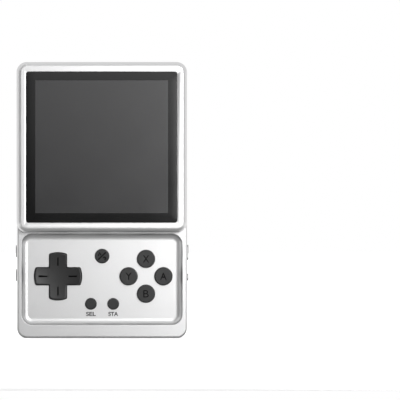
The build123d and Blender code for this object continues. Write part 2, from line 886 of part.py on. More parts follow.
def main_board():
    height = board_top - board_bottom
    board = plate(0, board_bottom + height / 2, board_width, height, board_corner, board_front, board_back)
    corner_x = pivot_x + bush_outer / 2 + bush_boss_wall + board_room
    corner_z = pivot_z - bush_outer / 2 - bush_boss_wall - board_room
    swivel_corner = Pos(corner_x, corner_z) * Rectangle(body_size, body_size, align=(Align.MAX, Align.MIN))
    board -= slab(swivel_corner, board_front, board_back)
    for x, z in shell_screws:
        board -= disc(x, z, shell_boss + 2 * board_room, board_front, board_back)
    for x, z in board_screws:
        board -= disc(x, z, screw_hole, board_front, board_back)
    notch_top = usb_sink + usb_length + board_room
    return board - block(0, notch_top / 2, usb_width + 2 * board_room, notch_top, board_front, board_back)


def board_screw_set():
    size = (board_screw_length, board_back, board_screw_head_wall, board_screw_head, screw_thread)
    return Part() + [screw(x, z, *size) for x, z in board_screws]


def battery():
    width = battery_right - battery_left
    height = battery_top - battery_foot
    place = ((battery_left + battery_right) / 2, (battery_foot + battery_top) / 2)
    return plate(*place, width, height, battery_corner, board_back + battery_gap, cover_inner - battery_gap)


def speaker():
    speaker_back = cover_inner - speaker_gap
    speaker_front = board_back + speaker_board_gap
    box = plate(0, speaker_z, speaker_width, speaker_height, speaker_corner, speaker_front, speaker_back)
    cone = SlotOverall(speaker_width - 2 * speaker_cone_inset, speaker_height - 2 * speaker_cone_inset)
    return box - slab(Pos(0, speaker_z) * cone, speaker_back - speaker_cone_depth, speaker_back)


def speaker_gauze():
    length = speaker_slot_length + 2 * gauze_margin
    height = speaker_slot_height + 2 * gauze_margin
    return block(0, speaker_slot_z, length, height, cover_inner, cover_inner + gauze_wall)


def shield_can():
    width = shield_right - shield_left
    height = shield_top - shield_foot
    place = ((shield_left + shield_right) / 2, (shield_foot + shield_top) / 2)
    lid = board_back + shield_depth
    can = plate(*place, width, height, shield_corner, board_back, lid)
    width -= 2 * shield_wall
    height -= 2 * shield_wall
    return can - plate(*place, width, height, shield_corner - shield_wall, board_back, lid - shield_wall)


def usb_socket():
    """A flattened tube with a tongue in it, closed at its upper end."""
    top = usb_sink + usb_length
    outer = RectangleRounded(usb_width, usb_height, usb_corner)
    inner_width = usb_width - 2 * usb_wall
    inner_height = usb_height - 2 * usb_wall
    inner = RectangleRounded(inner_width, inner_height, usb_corner - usb_wall)
    socket = standing(Pos(0, usb_y) * outer, usb_sink, top)
    socket -= standing(Pos(0, usb_y) * inner, usb_sink, top - usb_wall)
    tongue = Rectangle(usb_tongue_width, usb_tongue_wall)
    return socket + standing(Pos(0, usb_y) * tongue, usb_sink + usb_tongue_inset, top)


def card_socket():
    low = side_wall + card_gap
    top = low + card_length
    outer = Rectangle(card_width, card_depth)
    inner = Rectangle(card_width - 2 * card_wall, card_depth - 2 * card_wall)
    socket = standing(Pos(card_x, card_y) * outer, low, top)
    return socket - standing(Pos(card_x, card_y) * inner, low, top - card_wall)


# Front buttons


def cross_button():
    top = deck_face - cross_stand
    cross = slab(cross_outline(0), top, cross_flange_front)
    cross = fillet(edges_at(cross, top), button_round)
    cross += slab(cross_outline(cross_gap + cross_flange_lip), cross_flange_front, cross_flange_back)
    cross += disc(cross_x, controls_z, cross_nub, cross_flange_back, cross_flange_back + cross_nub_length)
    reach = cross_span / 2 - cross_mark_inset - cross_mark_length / 2
    for turn in (0, 90, 180, 270):
        groove = Rot(0, 0, turn) * (Pos(reach, 0) * SlotOverall(cross_mark_length, cross_mark_width))
        cross -= slab(Pos(cross_x, controls_z) * groove, top, top + cross_mark_depth)
    return cross


def cross_pivot():
    far = board_front - cross_pivot_lift
    return disc(cross_x, controls_z, cross_pivot_disc, far - cross_pivot_wall, far)


def round_button(x, z, diameter, stand):
    top = deck_face - stand
    button = disc(x, z, diameter, top, button_flange_front)
    button = fillet(edges_at(button, top), button_round)
    return button + disc(x, z, diameter + 2 * button_flange_lip, button_flange_front, button_flange_back)


def dome(x, z, diameter):
    return disc(x, z, dome_share * diameter, button_flange_back + button_rest_gap, pad_front)


def face_pad():
    corner = face_diameter / 2 + pad_margin
    size = sqrt(2) * face_spread + 2 * corner
    diamond = Rot(0, 0, 45) * RectangleRounded(size, size, corner)
    pad = slab(Pos(face_x, controls_z) * diamond, pad_front, board_front)
    for x, z in face_buttons.values():
        pad += dome(x, z, face_diameter)
    return pad


def cross_pad():
    outline = cross_outline(cross_gap + cross_flange_lip + cross_pad_margin)
    pad = slab(outline, pad_front, board_front)
    for turn in (0, 90, 180, 270):
        x = cross_x + cross_pad_dome_radius * cos(radians(turn))
        z = controls_z + cross_pad_dome_radius * sin(radians(turn))
        pad += disc(x, z, cross_pad_dome, cross_flange_back + button_rest_gap, pad_front)
    return pad - disc(cross_x, controls_z, cross_pad_hole, pad_front, board_front)


def menu_pad():
    """A bar under the two menu buttons with a stem up to the function button."""
    bar_width = 2 * menu_spread + dome_share * menu_diameter + 2 * menu_pad_margin
    stem_pad = dome_share * function_diameter + 2 * menu_pad_margin
    low = menu_z - menu_pad_bar / 2
    high = function_z + stem_pad / 2
    outline = Pos(0, menu_z) * Rectangle(bar_width, menu_pad_bar)
    outline += Pos(0, (low + high) / 2) * Rectangle(stem_pad, high - low)
    pad = slab(outline, pad_front, board_front) + dome(0, function_z, function_diameter)
    for x, z in menu_buttons.values():
        pad += dome(x, z, menu_diameter)
    return pad


# Shoulder buttons, each drawn on the right and mirrored for the left


def shoulder_solid(outline, stem_x):
    bar = slab(outline, shoulder_front, shoulder_back)
    bar = fillet(edges_at(bar, shoulder_back), shoulder_round)
    stem_top = body_size - shoulder_bar
    stem = Pos(stem_x, stem_y) * Rectangle(stem_width, stem_width)
    return bar + standing(stem, stem_top - stem_length, stem_top)


def outer_shoulder():
    bar = shoulder_solid(corner_band(shoulder_bar, outer_bar_from, outer_tail_z), outer_stem_x)
    leg_x = half_body - shoulder_bar + leg_wall / 2
    leg_back = shoulder_back - shoulder_round
    bar += block(leg_x, outer_tail_z, leg_wall, 2 * leg_length, shoulder_front, leg_back)
    near = hinge_ear_y - hinge_ear_depth / 2 - hinge_ear_gap
    far = hinge_ear_y + hinge_ear_depth / 2 + hinge_ear_gap
    slot_width = hinge_x + hinge_slot_reach - outer_bar_from
    slot_height = shoulder_bar - hinge_skin
    slot_x = outer_bar_from + slot_width / 2
    bar -= block(slot_x, body_size - shoulder_bar + slot_height / 2, slot_width, slot_height, near, far)
    bore = hinge_pin + 2 * hinge_pin_gap
    return bar - disc(hinge_x, hinge_z, bore, shoulder_front, hinge_pin_back + hinge_ear_gap)


def inner_shoulder():
    outline = Pos(inner_stem_x, body_size - shoulder_bar / 2) * Rectangle(inner_bar_length, shoulder_bar)
    return shoulder_solid(outline, inner_stem_x)


def shoulder_pins():
    size = (hinge_pin, hinge_pin_front, hinge_pin_back)
    return Part() + [disc(side * hinge_x, hinge_z, *size) for side in (-1, 1)]


def shoulder_boards():
    start = pocket_from + shoulder_board_inner
    end = half_body - shoulder_board_outer
    x = (start + end) / 2
    z = shelf_bottom - shoulder_board_gap - shoulder_board_height / 2
    boards = Part()
    for side in (-1, 1):
        outline = Pos(side * x, z) * Rectangle(end - start, shoulder_board_height)
        boards += slab(outline, shoulder_board_front, shoulder_board_back)
    return boards


def shoulder_switches():
    top = shelf_bottom - shoulder_switch_drop - shoulder_plunger_length
    middle = shoulder_board_front - shoulder_switch_depth / 2
    switches = Part()
    for x in (-outer_stem_x, -inner_stem_x, inner_stem_x, outer_stem_x):
        outline = Pos(x, middle) * Rectangle(shoulder_switch_width, shoulder_switch_depth)
        plunger = Pos(x, middle) * Circle(shoulder_plunger / 2)
        switches += standing(outline, top - shoulder_switch_height, top)
        switches += standing(plunger, top, top + shoulder_plunger_length)
    return switches


# Side buttons


def side_button(side, z, length):
    outer = half_body + side_button_stand
    flange = inner_side - side_flange_gap
    button = side_pill(z, length, side_button_width, flange, outer)
    button = fillet(edges_at(button, outer, Axis.X), side_button_round)
    grow = 2 * side_flange_lip
    button += side_pill(z, length + grow, side_button_width + grow, flange - side_flange_wall, flange)
    return on_side(button, side)


def side_switches():
    tip = inner_side - side_flange_gap - side_flange_wall - side_plunger_gap
    case_right = tip - side_plunger / 2
    middle = board_front - side_switch_depth / 2
    switches = Part()
    for side, z, length in side_buttons.values():
        case = Pos(middle, z) * Rectangle(side_switch_depth, side_switch_height)
        plunger = Pos(middle, z) * Circle(side_plunger / 2)
        switch = sideways(case, case_right - side_switch_width, case_right)
        switch += sideways(plunger, case_right, tip)
        switches += on_side(switch, side)
    return switches


right_outer = outer_shoulder()
right_inner = inner_shoulder()
pieces = {
    "screen_frame": screen_frame(),
    "screen_back_plate": screen_back_plate(),
    "cover_glass": cover_glass(),
    "glass_gasket": glass_gasket(),
    "display_module": display_module(),
    "backlight_tray": backlight_tray(),
    "screen_screws": screen_screws(),
    "swivel_shaft": swivel_shaft(),
    "swivel_bracket": swivel_bracket(),
    "bracket_screws": bracket_screw_set(),
    "stop_pin": stop_pin_solid(),
    "thrust_washer": thrust_washer(),
    "swivel_bush": swivel_bush(),
    "wave_washer": wave_washer(),
    "friction_disc": friction_disc(),
    "retaining_ring": retaining_ring(),
    "display_ribbon": display_ribbon(),
    "board_ribbon": board_ribbon(),
    "front_shell": front_shell(),
    "back_cover": back_cover(),
    "shell_screws": shell_screw_set(),
    "main_board": main_board(),
    "board_screws": board_screw_set(),
    "battery": battery(),
    "speaker": speaker(),
    "speaker_gauze": speaker_gauze(),
    "shield_can": shield_can(),
    "usb_socket": usb_socket(),
    "card_socket": card_socket(),
    "direction_pad": cross_button(),
    "direction_pad_pivot": cross_pivot(),
    "face_button_pad": face_pad(),
    "direction_switch_pad": cross_pad(),
    "menu_button_pad": menu_pad(),
    "right_outer_shoulder_button": right_outer,
    "left_outer_shoulder_button": on_side(right_outer, -1),
    "right_inner_shoulder_button": right_inner,
    "left_inner_shoulder_button": on_side(right_inner, -1),
    "shoulder_pins": shoulder_pins(),
    "shoulder_boards": shoulder_boards(),
    "shoulder_switches": shoulder_switches(),
    "side_switches": side_switches(),
}
for name, (x, z, diameter, stand) in round_buttons.items():
    pieces[name] = round_button(x, z, diameter, stand)
for name, (side, z, length) in side_buttons.items():
    pieces[name] = side_button(side, z, length)

os.makedirs("parts", exist_ok=True)
for name, piece in pieces.items():
    export_step(piece, "parts/" + name + ".step")
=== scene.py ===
import math
from contextlib import contextmanager

import bmesh
import bpy
from mathutils import Matrix, Vector


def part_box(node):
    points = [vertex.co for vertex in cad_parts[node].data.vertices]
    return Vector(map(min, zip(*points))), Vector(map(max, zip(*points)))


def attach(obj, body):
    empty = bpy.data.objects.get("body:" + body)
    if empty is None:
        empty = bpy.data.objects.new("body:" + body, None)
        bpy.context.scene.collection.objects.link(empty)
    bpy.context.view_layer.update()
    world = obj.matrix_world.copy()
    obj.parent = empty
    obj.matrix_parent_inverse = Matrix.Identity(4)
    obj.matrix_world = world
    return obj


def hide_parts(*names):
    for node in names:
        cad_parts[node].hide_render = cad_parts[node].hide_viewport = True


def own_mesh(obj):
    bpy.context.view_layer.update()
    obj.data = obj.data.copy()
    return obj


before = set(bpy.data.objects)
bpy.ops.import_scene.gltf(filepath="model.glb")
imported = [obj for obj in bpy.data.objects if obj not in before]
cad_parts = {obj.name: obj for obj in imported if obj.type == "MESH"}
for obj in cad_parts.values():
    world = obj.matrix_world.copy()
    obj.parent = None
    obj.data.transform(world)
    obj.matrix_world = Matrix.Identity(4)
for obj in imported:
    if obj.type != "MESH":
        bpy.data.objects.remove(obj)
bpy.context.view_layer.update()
mm = 0.001


# The screen panel's frame is one machined square of aluminium with a wide rounded front edge.
# It is blasted with fine glass beads and clear anodised, so it shines softly and has no brush marks.
# The glass lies in a step in its front, and a finger notch is cut in its right edge from behind.
def shader_inputs(finish):
    return finish.node_tree.nodes["Principled BSDF"].inputs


def new_finish(name, colour, metallic, roughness, more=None):
    """A material with its plain values set on the shader's own sockets."""
    finish = bpy.data.materials.new(name)
    finish.use_nodes = True
    plain = {"Base Color": (*colour, 1), "Metallic": metallic, "Roughness": roughness, **(more or {})}
    for socket, value in plain.items():
        shader_inputs(finish)[socket].default_value = value
    return finish


def add_step(tree, kind, inputs, **settings):
    """One node of a tree. An input is a plain value or the output of an earlier node."""
    step = tree.nodes.new(kind)
    for name, value in settings.items():
        setattr(step, name, value)
    for name, value in inputs.items():
        if isinstance(value, bpy.types.NodeSocket):
            tree.links.new(value, step.inputs[name])
        else:
            step.inputs[name].default_value = value
    return step


def texture(finish, kind, size, stretch=(1, 1, 1), **inputs):
    """A texture node on the piece's own coordinates, with features of about that size in metres."""
    tree = finish.node_tree
    place = add_step(tree, "ShaderNodeTexCoord", {})
    stretched = add_step(tree, "ShaderNodeMapping", {"Vector": place.outputs["Object"], "Scale": stretch})
    return add_step(tree, kind, {"Vector": stretched.outputs["Vector"], "Scale": 1 / size, **inputs})


def raise_grain(finish, height_from, height, strength=1.0):
    """Fine relief on the surface."""
    bump = {"Height": height_from, "Distance": height, "Strength": strength}
    relief = add_step(finish.node_tree, "ShaderNodeBump", bump)
    finish.node_tree.links.new(relief.outputs["Normal"], shader_inputs(finish)["Normal"])


def vary_roughness(finish, by, low, high):
    span = add_step(finish.node_tree, "ShaderNodeMapRange", {"Value": by, "To Min": low, "To Max": high})
    finish.node_tree.links.new(span.outputs["Result"], shader_inputs(finish)["Roughness"])


def vary_colour(finish, by, *stops):
    """The base colour runs between two (place, colour) stops."""
    ramp = add_step(finish.node_tree, "ShaderNodeValToRGB", {"Fac": by})
    for element, (place, colour) in zip(ramp.color_ramp.elements, stops):
        element.position = place
        element.color = (*colour, 1)
    finish.node_tree.links.new(ramp.outputs["Color"], shader_inputs(finish)["Base Color"])


def noise(finish, size, detail, stretch=(1, 1, 1)):
    return texture(finish, "ShaderNodeTexNoise", size, stretch, Detail=detail).outputs["Fac"]


def shade(colour, by):
    return tuple(part * by for part in colour)


def blasted_aluminium(name, colour, roughness):
    """Anodised metal with the fine pits that the glass beads leave and a faint cloudiness."""
    finish = new_finish(name, colour, 1, roughness)
    pits = noise(finish, 0.16 * mm, 2)
    raise_grain(finish, pits, 0.006 * mm, 0.35)
    vary_roughness(finish, noise(finish, 9 * mm, 3), roughness - 0.03, roughness + 0.03)
    vary_colour(finish, pits, (0.3, shade(colour, 0.96)), (0.7, shade(colour, 1.03)))
    return finish


def put_in_scene(name, mesh):
    piece = bpy.data.objects.new(name, mesh)
    bpy.context.scene.collection.objects.link(piece)
    return piece


@contextmanager
def changes(mesh):
    """A mesh's points and faces, which are written back when the changes are made."""
    work = bmesh.new()
    work.from_mesh(mesh)
    yield work
    work.to_mesh(mesh)
    work.free()


def work_in(piece):
    """The piece's modifiers become part of its mesh and are taken off."""
    bpy.context.view_layer.update()
    graph = bpy.context.evaluated_depsgraph_get()
    mesh = bpy.data.meshes.new_from_object(piece.evaluated_get(graph), depsgraph=graph)
    mesh.name = piece.name
    piece.modifiers.clear()
    piece.data = mesh
    return piece


def smooth(piece, crease=40):
    """Round faces shade smoothly and flat ones stay flat."""
    piece.data.shade_smooth()
    piece.data.set_sharp_from_angle(angle=math.radians(crease))
    weight = piece.modifiers.new("Flat faces lead", "WEIGHTED_NORMAL")
    weight.keep_sharp = True
    return work_in(piece)


def merged_copy(node, name):
    """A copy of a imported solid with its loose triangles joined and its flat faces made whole."""
    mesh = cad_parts[node].data.copy()
    mesh.materials.clear()
    with changes(mesh) as work:
        bmesh.ops.remove_doubles(work, verts=work.verts, dist=0.001 * mm)
        bmesh.ops.dissolve_limit(work, angle_limit=math.radians(0.2), verts=work.verts, edges=work.edges)
    return put_in_scene(name, mesh)


def carry(piece, body, slot, *nodes):
    """Says what the piece moves with and which solids it stands for. The slot is not used."""
    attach(piece, body)
    if nodes:
        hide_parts(*nodes)
    return piece


def dress(node, name, finish, body, slot):
    """A smooth-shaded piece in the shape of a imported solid, which it stands for."""
    piece = merged_copy(node, name)
    piece.data.materials.append(finish)
    smooth(piece)
    return carry(piece, body, slot, node)


silver = (0.66, 0.66, 0.662)
silver_finish = blasted_aluminium("blasted_silver", silver, 0.38)
dress("screen_frame", "panel_frame", silver_finish, "screen", "silver_shell")


# The cover glass is black-printed behind round its border, and the display shows through as a greyer square.
# It lies on a black foam gasket; the display and its white lamp tray are closed in behind it.
lit_side = 63.8 * mm
lit_centre = Vector((0, 0, 92.2 * mm))

border_finish = new_finish("glass_over_black_print", (0.002, 0.002, 0.0022), 0, 0.2, {"Specular IOR Level": 0.36})
lit_finish = new_finish("glass_over_display", (0.02, 0.02, 0.021), 0, 0.24, {"Specular IOR Level": 0.62})
smear_size = 14 * mm
vary_roughness(border_finish, noise(border_finish, smear_size, 2), 0.17, 0.23)
vary_roughness(lit_finish, noise(lit_finish, smear_size, 2), 0.21, 0.27)
cells = noise(lit_finish, 0.09 * mm, 0)
vary_colour(lit_finish, cells, (0.35, (0.016, 0.016, 0.017)), (0.65, (0.024, 0.024, 0.025)))

glass = merged_copy("cover_glass", "cover_glass_printed")
glass.data.materials.append(border_finish)
glass.data.materials.append(lit_finish)
with changes(glass.data) as work:
    for axis in (Vector((1, 0, 0)), Vector((0, 0, 1))):
        for side in (-1, 1):
            bmesh.ops.bisect_plane(
                work,
                geom=[*work.verts, *work.edges, *work.faces],
                dist=0.0001 * mm,
                plane_co=lit_centre + side * axis * lit_side / 2,
                plane_no=axis,
            )
    for face in work.faces:
        from_centre = face.calc_center_median() - lit_centre
        in_square = max(abs(from_centre.x), abs(from_centre.z)) < lit_side / 2
        face.material_index = int(in_square and face.normal.y < -0.9)
smooth(glass)
carry(glass, "screen", "screen_glass", "cover_glass")


def finish_solids(finish, *nodes):
    """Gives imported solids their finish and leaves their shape."""
    for node in nodes:
        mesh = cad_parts[node].data
        mesh.materials.clear()
        mesh.materials.append(finish)


foam_finish = new_finish("black_foam", (0.012, 0.012, 0.012), 0, 0.9)
cells = texture(foam_finish, "ShaderNodeTexVoronoi", 0.25 * mm)
raise_grain(foam_finish, cells.outputs["Distance"], 0.03 * mm)
finish_solids(foam_finish, "glass_gasket")

display_finish = new_finish("display_stack", (0.03, 0.03, 0.032), 0, 0.2)
rows = texture(display_finish, "ShaderNodeTexWave", 0.4 * mm, Distortion=0)
vary_colour(display_finish, rows.outputs["Fac"], (0, (0.02, 0.02, 0.022)), (1, (0.04, 0.04, 0.043)))
finish_solids(display_finish, "display_module")

tray_finish = new_finish("white_lamp_tray", (0.82, 0.82, 0.8), 0, 0.5)
raise_grain(tray_finish, noise(tray_finish, 0.6 * mm, 2), 0.01 * mm)
finish_solids(tray_finish, "backlight_tray")


# The panel's back is a thin blasted plate let into the frame, held by a screw in each corner.
# Like all the screws here, these are nickel-plated pan heads with a six-sided drive, sunk in plain wells.
panel_plate = dress("screen_back_plate", "panel_back_plate", silver_finish, "screen", "silver_shell")


def new_tree(name, sizes):
    """A Geometry Nodes tree whose inputs are points, the named sizes and a finish."""
    tree = bpy.data.node_groups.new(name, "GeometryNodeTree")
    tree.interface.new_socket("Points", in_out="INPUT", socket_type="NodeSocketGeometry")
    for size in sizes:
        tree.interface.new_socket(size, in_out="INPUT", socket_type="NodeSocketFloat")
    tree.interface.new_socket("Finish", in_out="INPUT", socket_type="NodeSocketMaterial")
    tree.interface.new_socket("Pieces", in_out="OUTPUT", socket_type="NodeSocketGeometry")
    return tree, tree.nodes.new("NodeGroupInput").outputs


def calculate(tree, operation, first, second):
    return add_step(tree, "ShaderNodeMath", {0: first, 1: second}, operation=operation).outputs["Value"]


def vector(tree, x, y, z):
    return add_step(tree, "ShaderNodeCombineXYZ", {"X": x, "Y": y, "Z": z}).outputs["Vector"]


def cylinder(tree, sides, radius, length):
    sizes = {"Vertices": sides, "Radius": radius, "Depth": length}
    return add_step(tree, "GeometryNodeMeshCylinder", sizes, fill_type="NGON").outputs


def lifted(tree, mesh, height):
    move = {"Geometry": mesh, "Translation": vector(tree, 0.0, 0.0, height)}
    return add_step(tree, "GeometryNodeTransform", move).outputs["Geometry"]


def set_on(tree, points, instance, turn=(0, 0, 0)):
    """A copy of something on each point."""
    inputs = {"Points": points, "Instance": instance, "Rotation": turn}
    return add_step(tree, "GeometryNodeInstanceOnPoints", inputs).outputs["Instances"]


def finish_tree(tree, given, instance, turn=(0, 0, 0)):
    """Ends a tree with a copy on each given point, made real and given its finish."""
    copies = set_on(tree, given["Points"], instance, turn)
    real = add_step(tree, "GeometryNodeRealizeInstances", {"Geometry": copies}).outputs["Geometry"]
    painted = add_step(tree, "GeometryNodeSetMaterial", {"Geometry": real, "Material": given["Finish"]})
    add_step(tree, "NodeGroupOutput", {"Pieces": painted.outputs["Geometry"]})


def run_tree(name, tree, points, sizes, finish):
    """The plain mesh that a tree makes at those points."""
    mesh = bpy.data.meshes.new(name)
    mesh.from_pydata(points, [], [])
    piece = put_in_scene(name, mesh)
    steps = piece.modifiers.new(tree.name, "NODES")
    steps.node_group = tree
    values = {**sizes, "Finish": finish}
    for item in tree.interface.items_tree:
        if item.name in values:
            steps[item.identifier] = values[item.name]
    work_in(piece)
    piece.data.materials.clear()
    piece.data.materials.append(finish)
    for face in piece.data.polygons:
        face.material_index = 0
    return piece


def screw_tree():
    """Pan-head screws seated at their points, each with its drive turned as chance left it."""
    sizes = ["Head", "Head height", "Edge", "Thread", "Length", "Drive", "Drive depth", "Lean"]
    tree, given = new_tree("pan_head_screws", sizes)
    head_radius = calculate(tree, "DIVIDE", given["Head"], 2.0)
    straight = calculate(tree, "SUBTRACT", given["Head height"], given["Edge"])
    head = cylinder(tree, 48, head_radius, straight)
    mesh, top = lifted(tree, head["Mesh"], calculate(tree, "DIVIDE", straight, 2.0)), head["Top"]
    steps = 4
    reached = 1.0
    for step in range(1, steps + 1):
        turn = math.pi / 2 * step / steps
        rise = math.sin(turn) - math.sin(turn - math.pi / 2 / steps)
        width = calculate(tree, "MULTIPLY", given["Edge"], 1 - math.cos(turn))
        share = calculate(tree, "SUBTRACT", 1.0, calculate(tree, "DIVIDE", width, head_radius))
        height = calculate(tree, "MULTIPLY", given["Edge"], rise)
        raised = {"Mesh": mesh, "Selection": top, "Offset Scale": height}
        ring = add_step(tree, "GeometryNodeExtrudeMesh", raised, mode="FACES").outputs
        scale = calculate(tree, "DIVIDE", share, reached)
        drawn_in = {"Geometry": ring["Mesh"], "Selection": ring["Top"], "Scale": scale}
        mesh = add_step(tree, "GeometryNodeScaleElements", drawn_in).outputs["Geometry"]
        top, reached = ring["Top"], share
    overlap = calculate(tree, "DIVIDE", straight, 2.0)
    thread_radius = calculate(tree, "DIVIDE", given["Thread"], 2.0)
    thread = cylinder(tree, 24, thread_radius, calculate(tree, "ADD", given["Length"], overlap))
    thread_middle = calculate(tree, "DIVIDE", calculate(tree, "SUBTRACT", overlap, given["Length"]), 2.0)
    joined = add_step(tree, "GeometryNodeMeshBoolean", {}, operation="UNION", solver="EXACT")
    tree.links.new(mesh, joined.inputs["Mesh 2"])
    tree.links.new(lifted(tree, thread["Mesh"], thread_middle), joined.inputs["Mesh 2"])
    drive_radius = calculate(tree, "DIVIDE", given["Drive"], 2.0)
    drive = cylinder(tree, 6, drive_radius, calculate(tree, "MULTIPLY", given["Drive depth"], 2.0))
    solids = {"Mesh 1": joined.outputs["Mesh"], "Mesh 2": lifted(tree, drive["Mesh"], given["Head height"])}
    screw = add_step(tree, "GeometryNodeMeshBoolean", solids, operation="DIFFERENCE", solver="EXACT")
    least, most = (vector(tree, given["Lean"], turn, 0.0) for turn in (0.0, math.pi / 3))
    turns = {"Min": least, "Max": most, "Seed": 7}
    turned_by = add_step(tree, "FunctionNodeRandomValue", turns, data_type="FLOAT_VECTOR")
    finish_tree(tree, given, screw.outputs["Mesh"], turned_by.outputs["Value"])
    return tree


screws = screw_tree()
heads_back, heads_front = -math.pi / 2, math.pi / 2
case_screw = {
    "Head": 3.4 * mm,
    "Head height": 1.2 * mm,
    "Edge": 0.3 * mm,
    "Thread": 1.6 * mm,
    "Drive": 1.5 * mm,
    "Drive depth": 0.5 * mm,
    "Lean": heads_back,
}
screw_finish = new_finish("nickel_screw", (0.46, 0.46, 0.47), 1, 0.3)
plating = noise(screw_finish, 0.2 * mm, 3)
vary_roughness(screw_finish, plating, 0.22, 0.4)
raise_grain(screw_finish, plating, 0.004 * mm)

# Painted shade: the walls and floors of the screw wells are given a dark grey metal, which stands in for the
# shade inside them.
well_painted_shade_finish = new_finish("painted_shade_in_wells", (0.2, 0.2, 0.2), 1, 0.45)
vary_roughness(well_painted_shade_finish, noise(well_painted_shade_finish, 0.3 * mm, 2), 0.4, 0.55)
well_radius = 2.25 * mm
slack = 0.01 * mm


def paint_shade_in_wells(piece, seats):
    """Painted shade in the wells: their walls and floors get a dull, dark finish."""
    piece.data.materials.append(well_painted_shade_finish)
    large = 100 * mm * mm
    flats = [face.center.y for face in piece.data.polygons if face.area > large]
    for face in piece.data.polygons:
        sunk = min(abs(face.center.y - flat) for flat in flats) > 2 * slack
        for x, depth, z in seats:
            if sunk and math.hypot(face.center.x - x, face.center.z - z) < well_radius + slack:
                face.material_index = 1


def set_of_screws(name, node, seats, sizes, body):
    piece = run_tree(name, screws, seats, sizes, screw_finish)
    smooth(piece, 35)
    return carry(piece, body, "screw_steel", node)


panel_back = -3.7 * mm
plate_back = panel_back - 0.25 * mm
head_sink = 0.15 * mm
panel_middle = 92 * mm
panel_screw_reach = 36 * mm
panel_seat = plate_back - head_sink - case_screw["Head height"]
panel_seats = [
    (side * panel_screw_reach, panel_seat, panel_middle + end * panel_screw_reach)
    for side in (-1, 1)
    for end in (-1, 1)
]
paint_shade_in_wells(panel_plate, panel_seats)
set_of_screws("panel_screws", "screen_screws", panel_seats, {**case_screw, "Length": 3 * mm}, "screen")


# The swivel is a hollow steel shaft flanged to a bracket behind the display, running in a bronze bush.
# A nylon washer takes the panel's weight, a wave washer and a friction disc hold it at any angle,
# and a pin in a quarter slot stops it open and closed.
def ground_steel(name, colour, roughness):
    """Steel with the fine rings that grinding or turning leaves about the swivel's axis."""
    finish = new_finish(name, colour, 1, roughness)
    rings = texture(finish, "ShaderNodeTexWave", 0.5 * mm, Distortion=1.5, Detail=2)
    rings.wave_type = "RINGS"
    rings.rings_direction = "Y"
    raise_grain(finish, rings.outputs["Fac"], 0.003 * mm)
    vary_roughness(finish, rings.outputs["Fac"], roughness - 0.06, roughness + 0.06)
    return finish


steel_finish = ground_steel("ground_steel", (0.5, 0.5, 0.51), 0.3)
bronze_finish = ground_steel("turned_bronze", (0.55, 0.38, 0.17), 0.35)
for node, name in (
    ("swivel_shaft", "shaft_flanged"),
    ("swivel_bracket", "bracket_pressed"),
    ("stop_pin", "pin_hardened"),
    ("friction_disc", "friction_plate"),
    ("retaining_ring", "ring_open"),
):
    dress(node, name, steel_finish, "screen", "swivel_steel")
dress("swivel_bush", "bush_turned", bronze_finish, "body", "bush_bronze")

milky = {"Subsurface Weight": 0.2, "Subsurface Radius": (0.4 * mm, 0.4 * mm, 0.35 * mm)}
nylon_finish = new_finish("nylon_washer", (0.8, 0.8, 0.76), 0, 0.45, milky)
raise_grain(nylon_finish, noise(nylon_finish, 0.5 * mm, 3), 0.006 * mm)
dress("thrust_washer", "washer_moulded", nylon_finish, "body", "washer_nylon")

pivot = Vector((-25.5 * mm, 0, 66.5 * mm))
wave_inner, wave_outer = 4.8 * mm, 7 * mm
wave_front, wave_back = 1.1 * mm, 1.65 * mm
wave_half_sheet = 0.1 * mm
wave_count = 3


def solid_of_rings(name, rings, capped=True):
    """A closed solid over rings of points, capped at both ends or joined from its last ring to its first."""
    work = bmesh.new()
    loops = [[work.verts.new(point) for point in ring] for ring in rings]
    count = len(loops[0])
    for near, far in zip(loops, loops[1:] if capped else loops[1:] + loops[:1]):
        for step in range(count):
            after = (step + 1) % count
            work.faces.new((near[step], near[after], far[after], far[step]))
    if capped:
        work.faces.new(loops[0])
        work.faces.new(loops[-1])
    bmesh.ops.recalc_face_normals(work, faces=work.faces)
    mesh = bpy.data.meshes.new(name)
    work.to_mesh(mesh)
    work.free()
    return put_in_scene(name, mesh)


def circle(centre, radius, depth, count):
    """Points round an axis along Y. The depth is a number or follows the turn."""
    turns = [2 * math.pi * step / count for step in range(count)]
    depths = [depth(turn) if callable(depth) else depth for turn in turns]
    x, z = centre
    return [(x + radius * math.cos(turn), y, z + radius * math.sin(turn)) for turn, y in zip(turns, depths)]


def wave_depth(lift):
    """The depth of a washer's face that touches the bush and the disc in turn."""
    middle = (wave_front + wave_back) / 2 + lift
    swing = (wave_back - wave_front) / 2 - wave_half_sheet
    return lambda turn: middle + swing * math.cos(wave_count * turn)


front_face, rear_face = wave_depth(-wave_half_sheet), wave_depth(wave_half_sheet)
wave_section = [
    (radius, face)
    for face, radii in ((front_face, (wave_inner, wave_outer)), (rear_face, (wave_outer, wave_inner)))
    for radius in radii
]
wave_rings = [circle((pivot.x, pivot.z), radius, face, 96) for radius, face in wave_section]
wave = solid_of_rings("wave_washer_pressed", wave_rings, capped=False)
wave.data.materials.append(steel_finish)
smooth(wave)
carry(wave, "body", "swivel_steel", "wave_washer")

bracket_radius = 8.8 * mm
bracket_front = -5.55 * mm
bracket_seats = circle((pivot.x, pivot.z), bracket_radius, bracket_front, 4)
bracket_screw = {
    "Head": 2.6 * mm,
    "Head height": 0.5 * mm,
    "Edge": 0.15 * mm,
    "Thread": 1.2 * mm,
    "Length": 1.35 * mm,
    "Drive": 1.1 * mm,
    "Drive depth": 0.25 * mm,
    "Lean": heads_front,
}
set_of_screws("bracket_screws_flat", "bracket_screws", bracket_seats, bracket_screw, "screen")


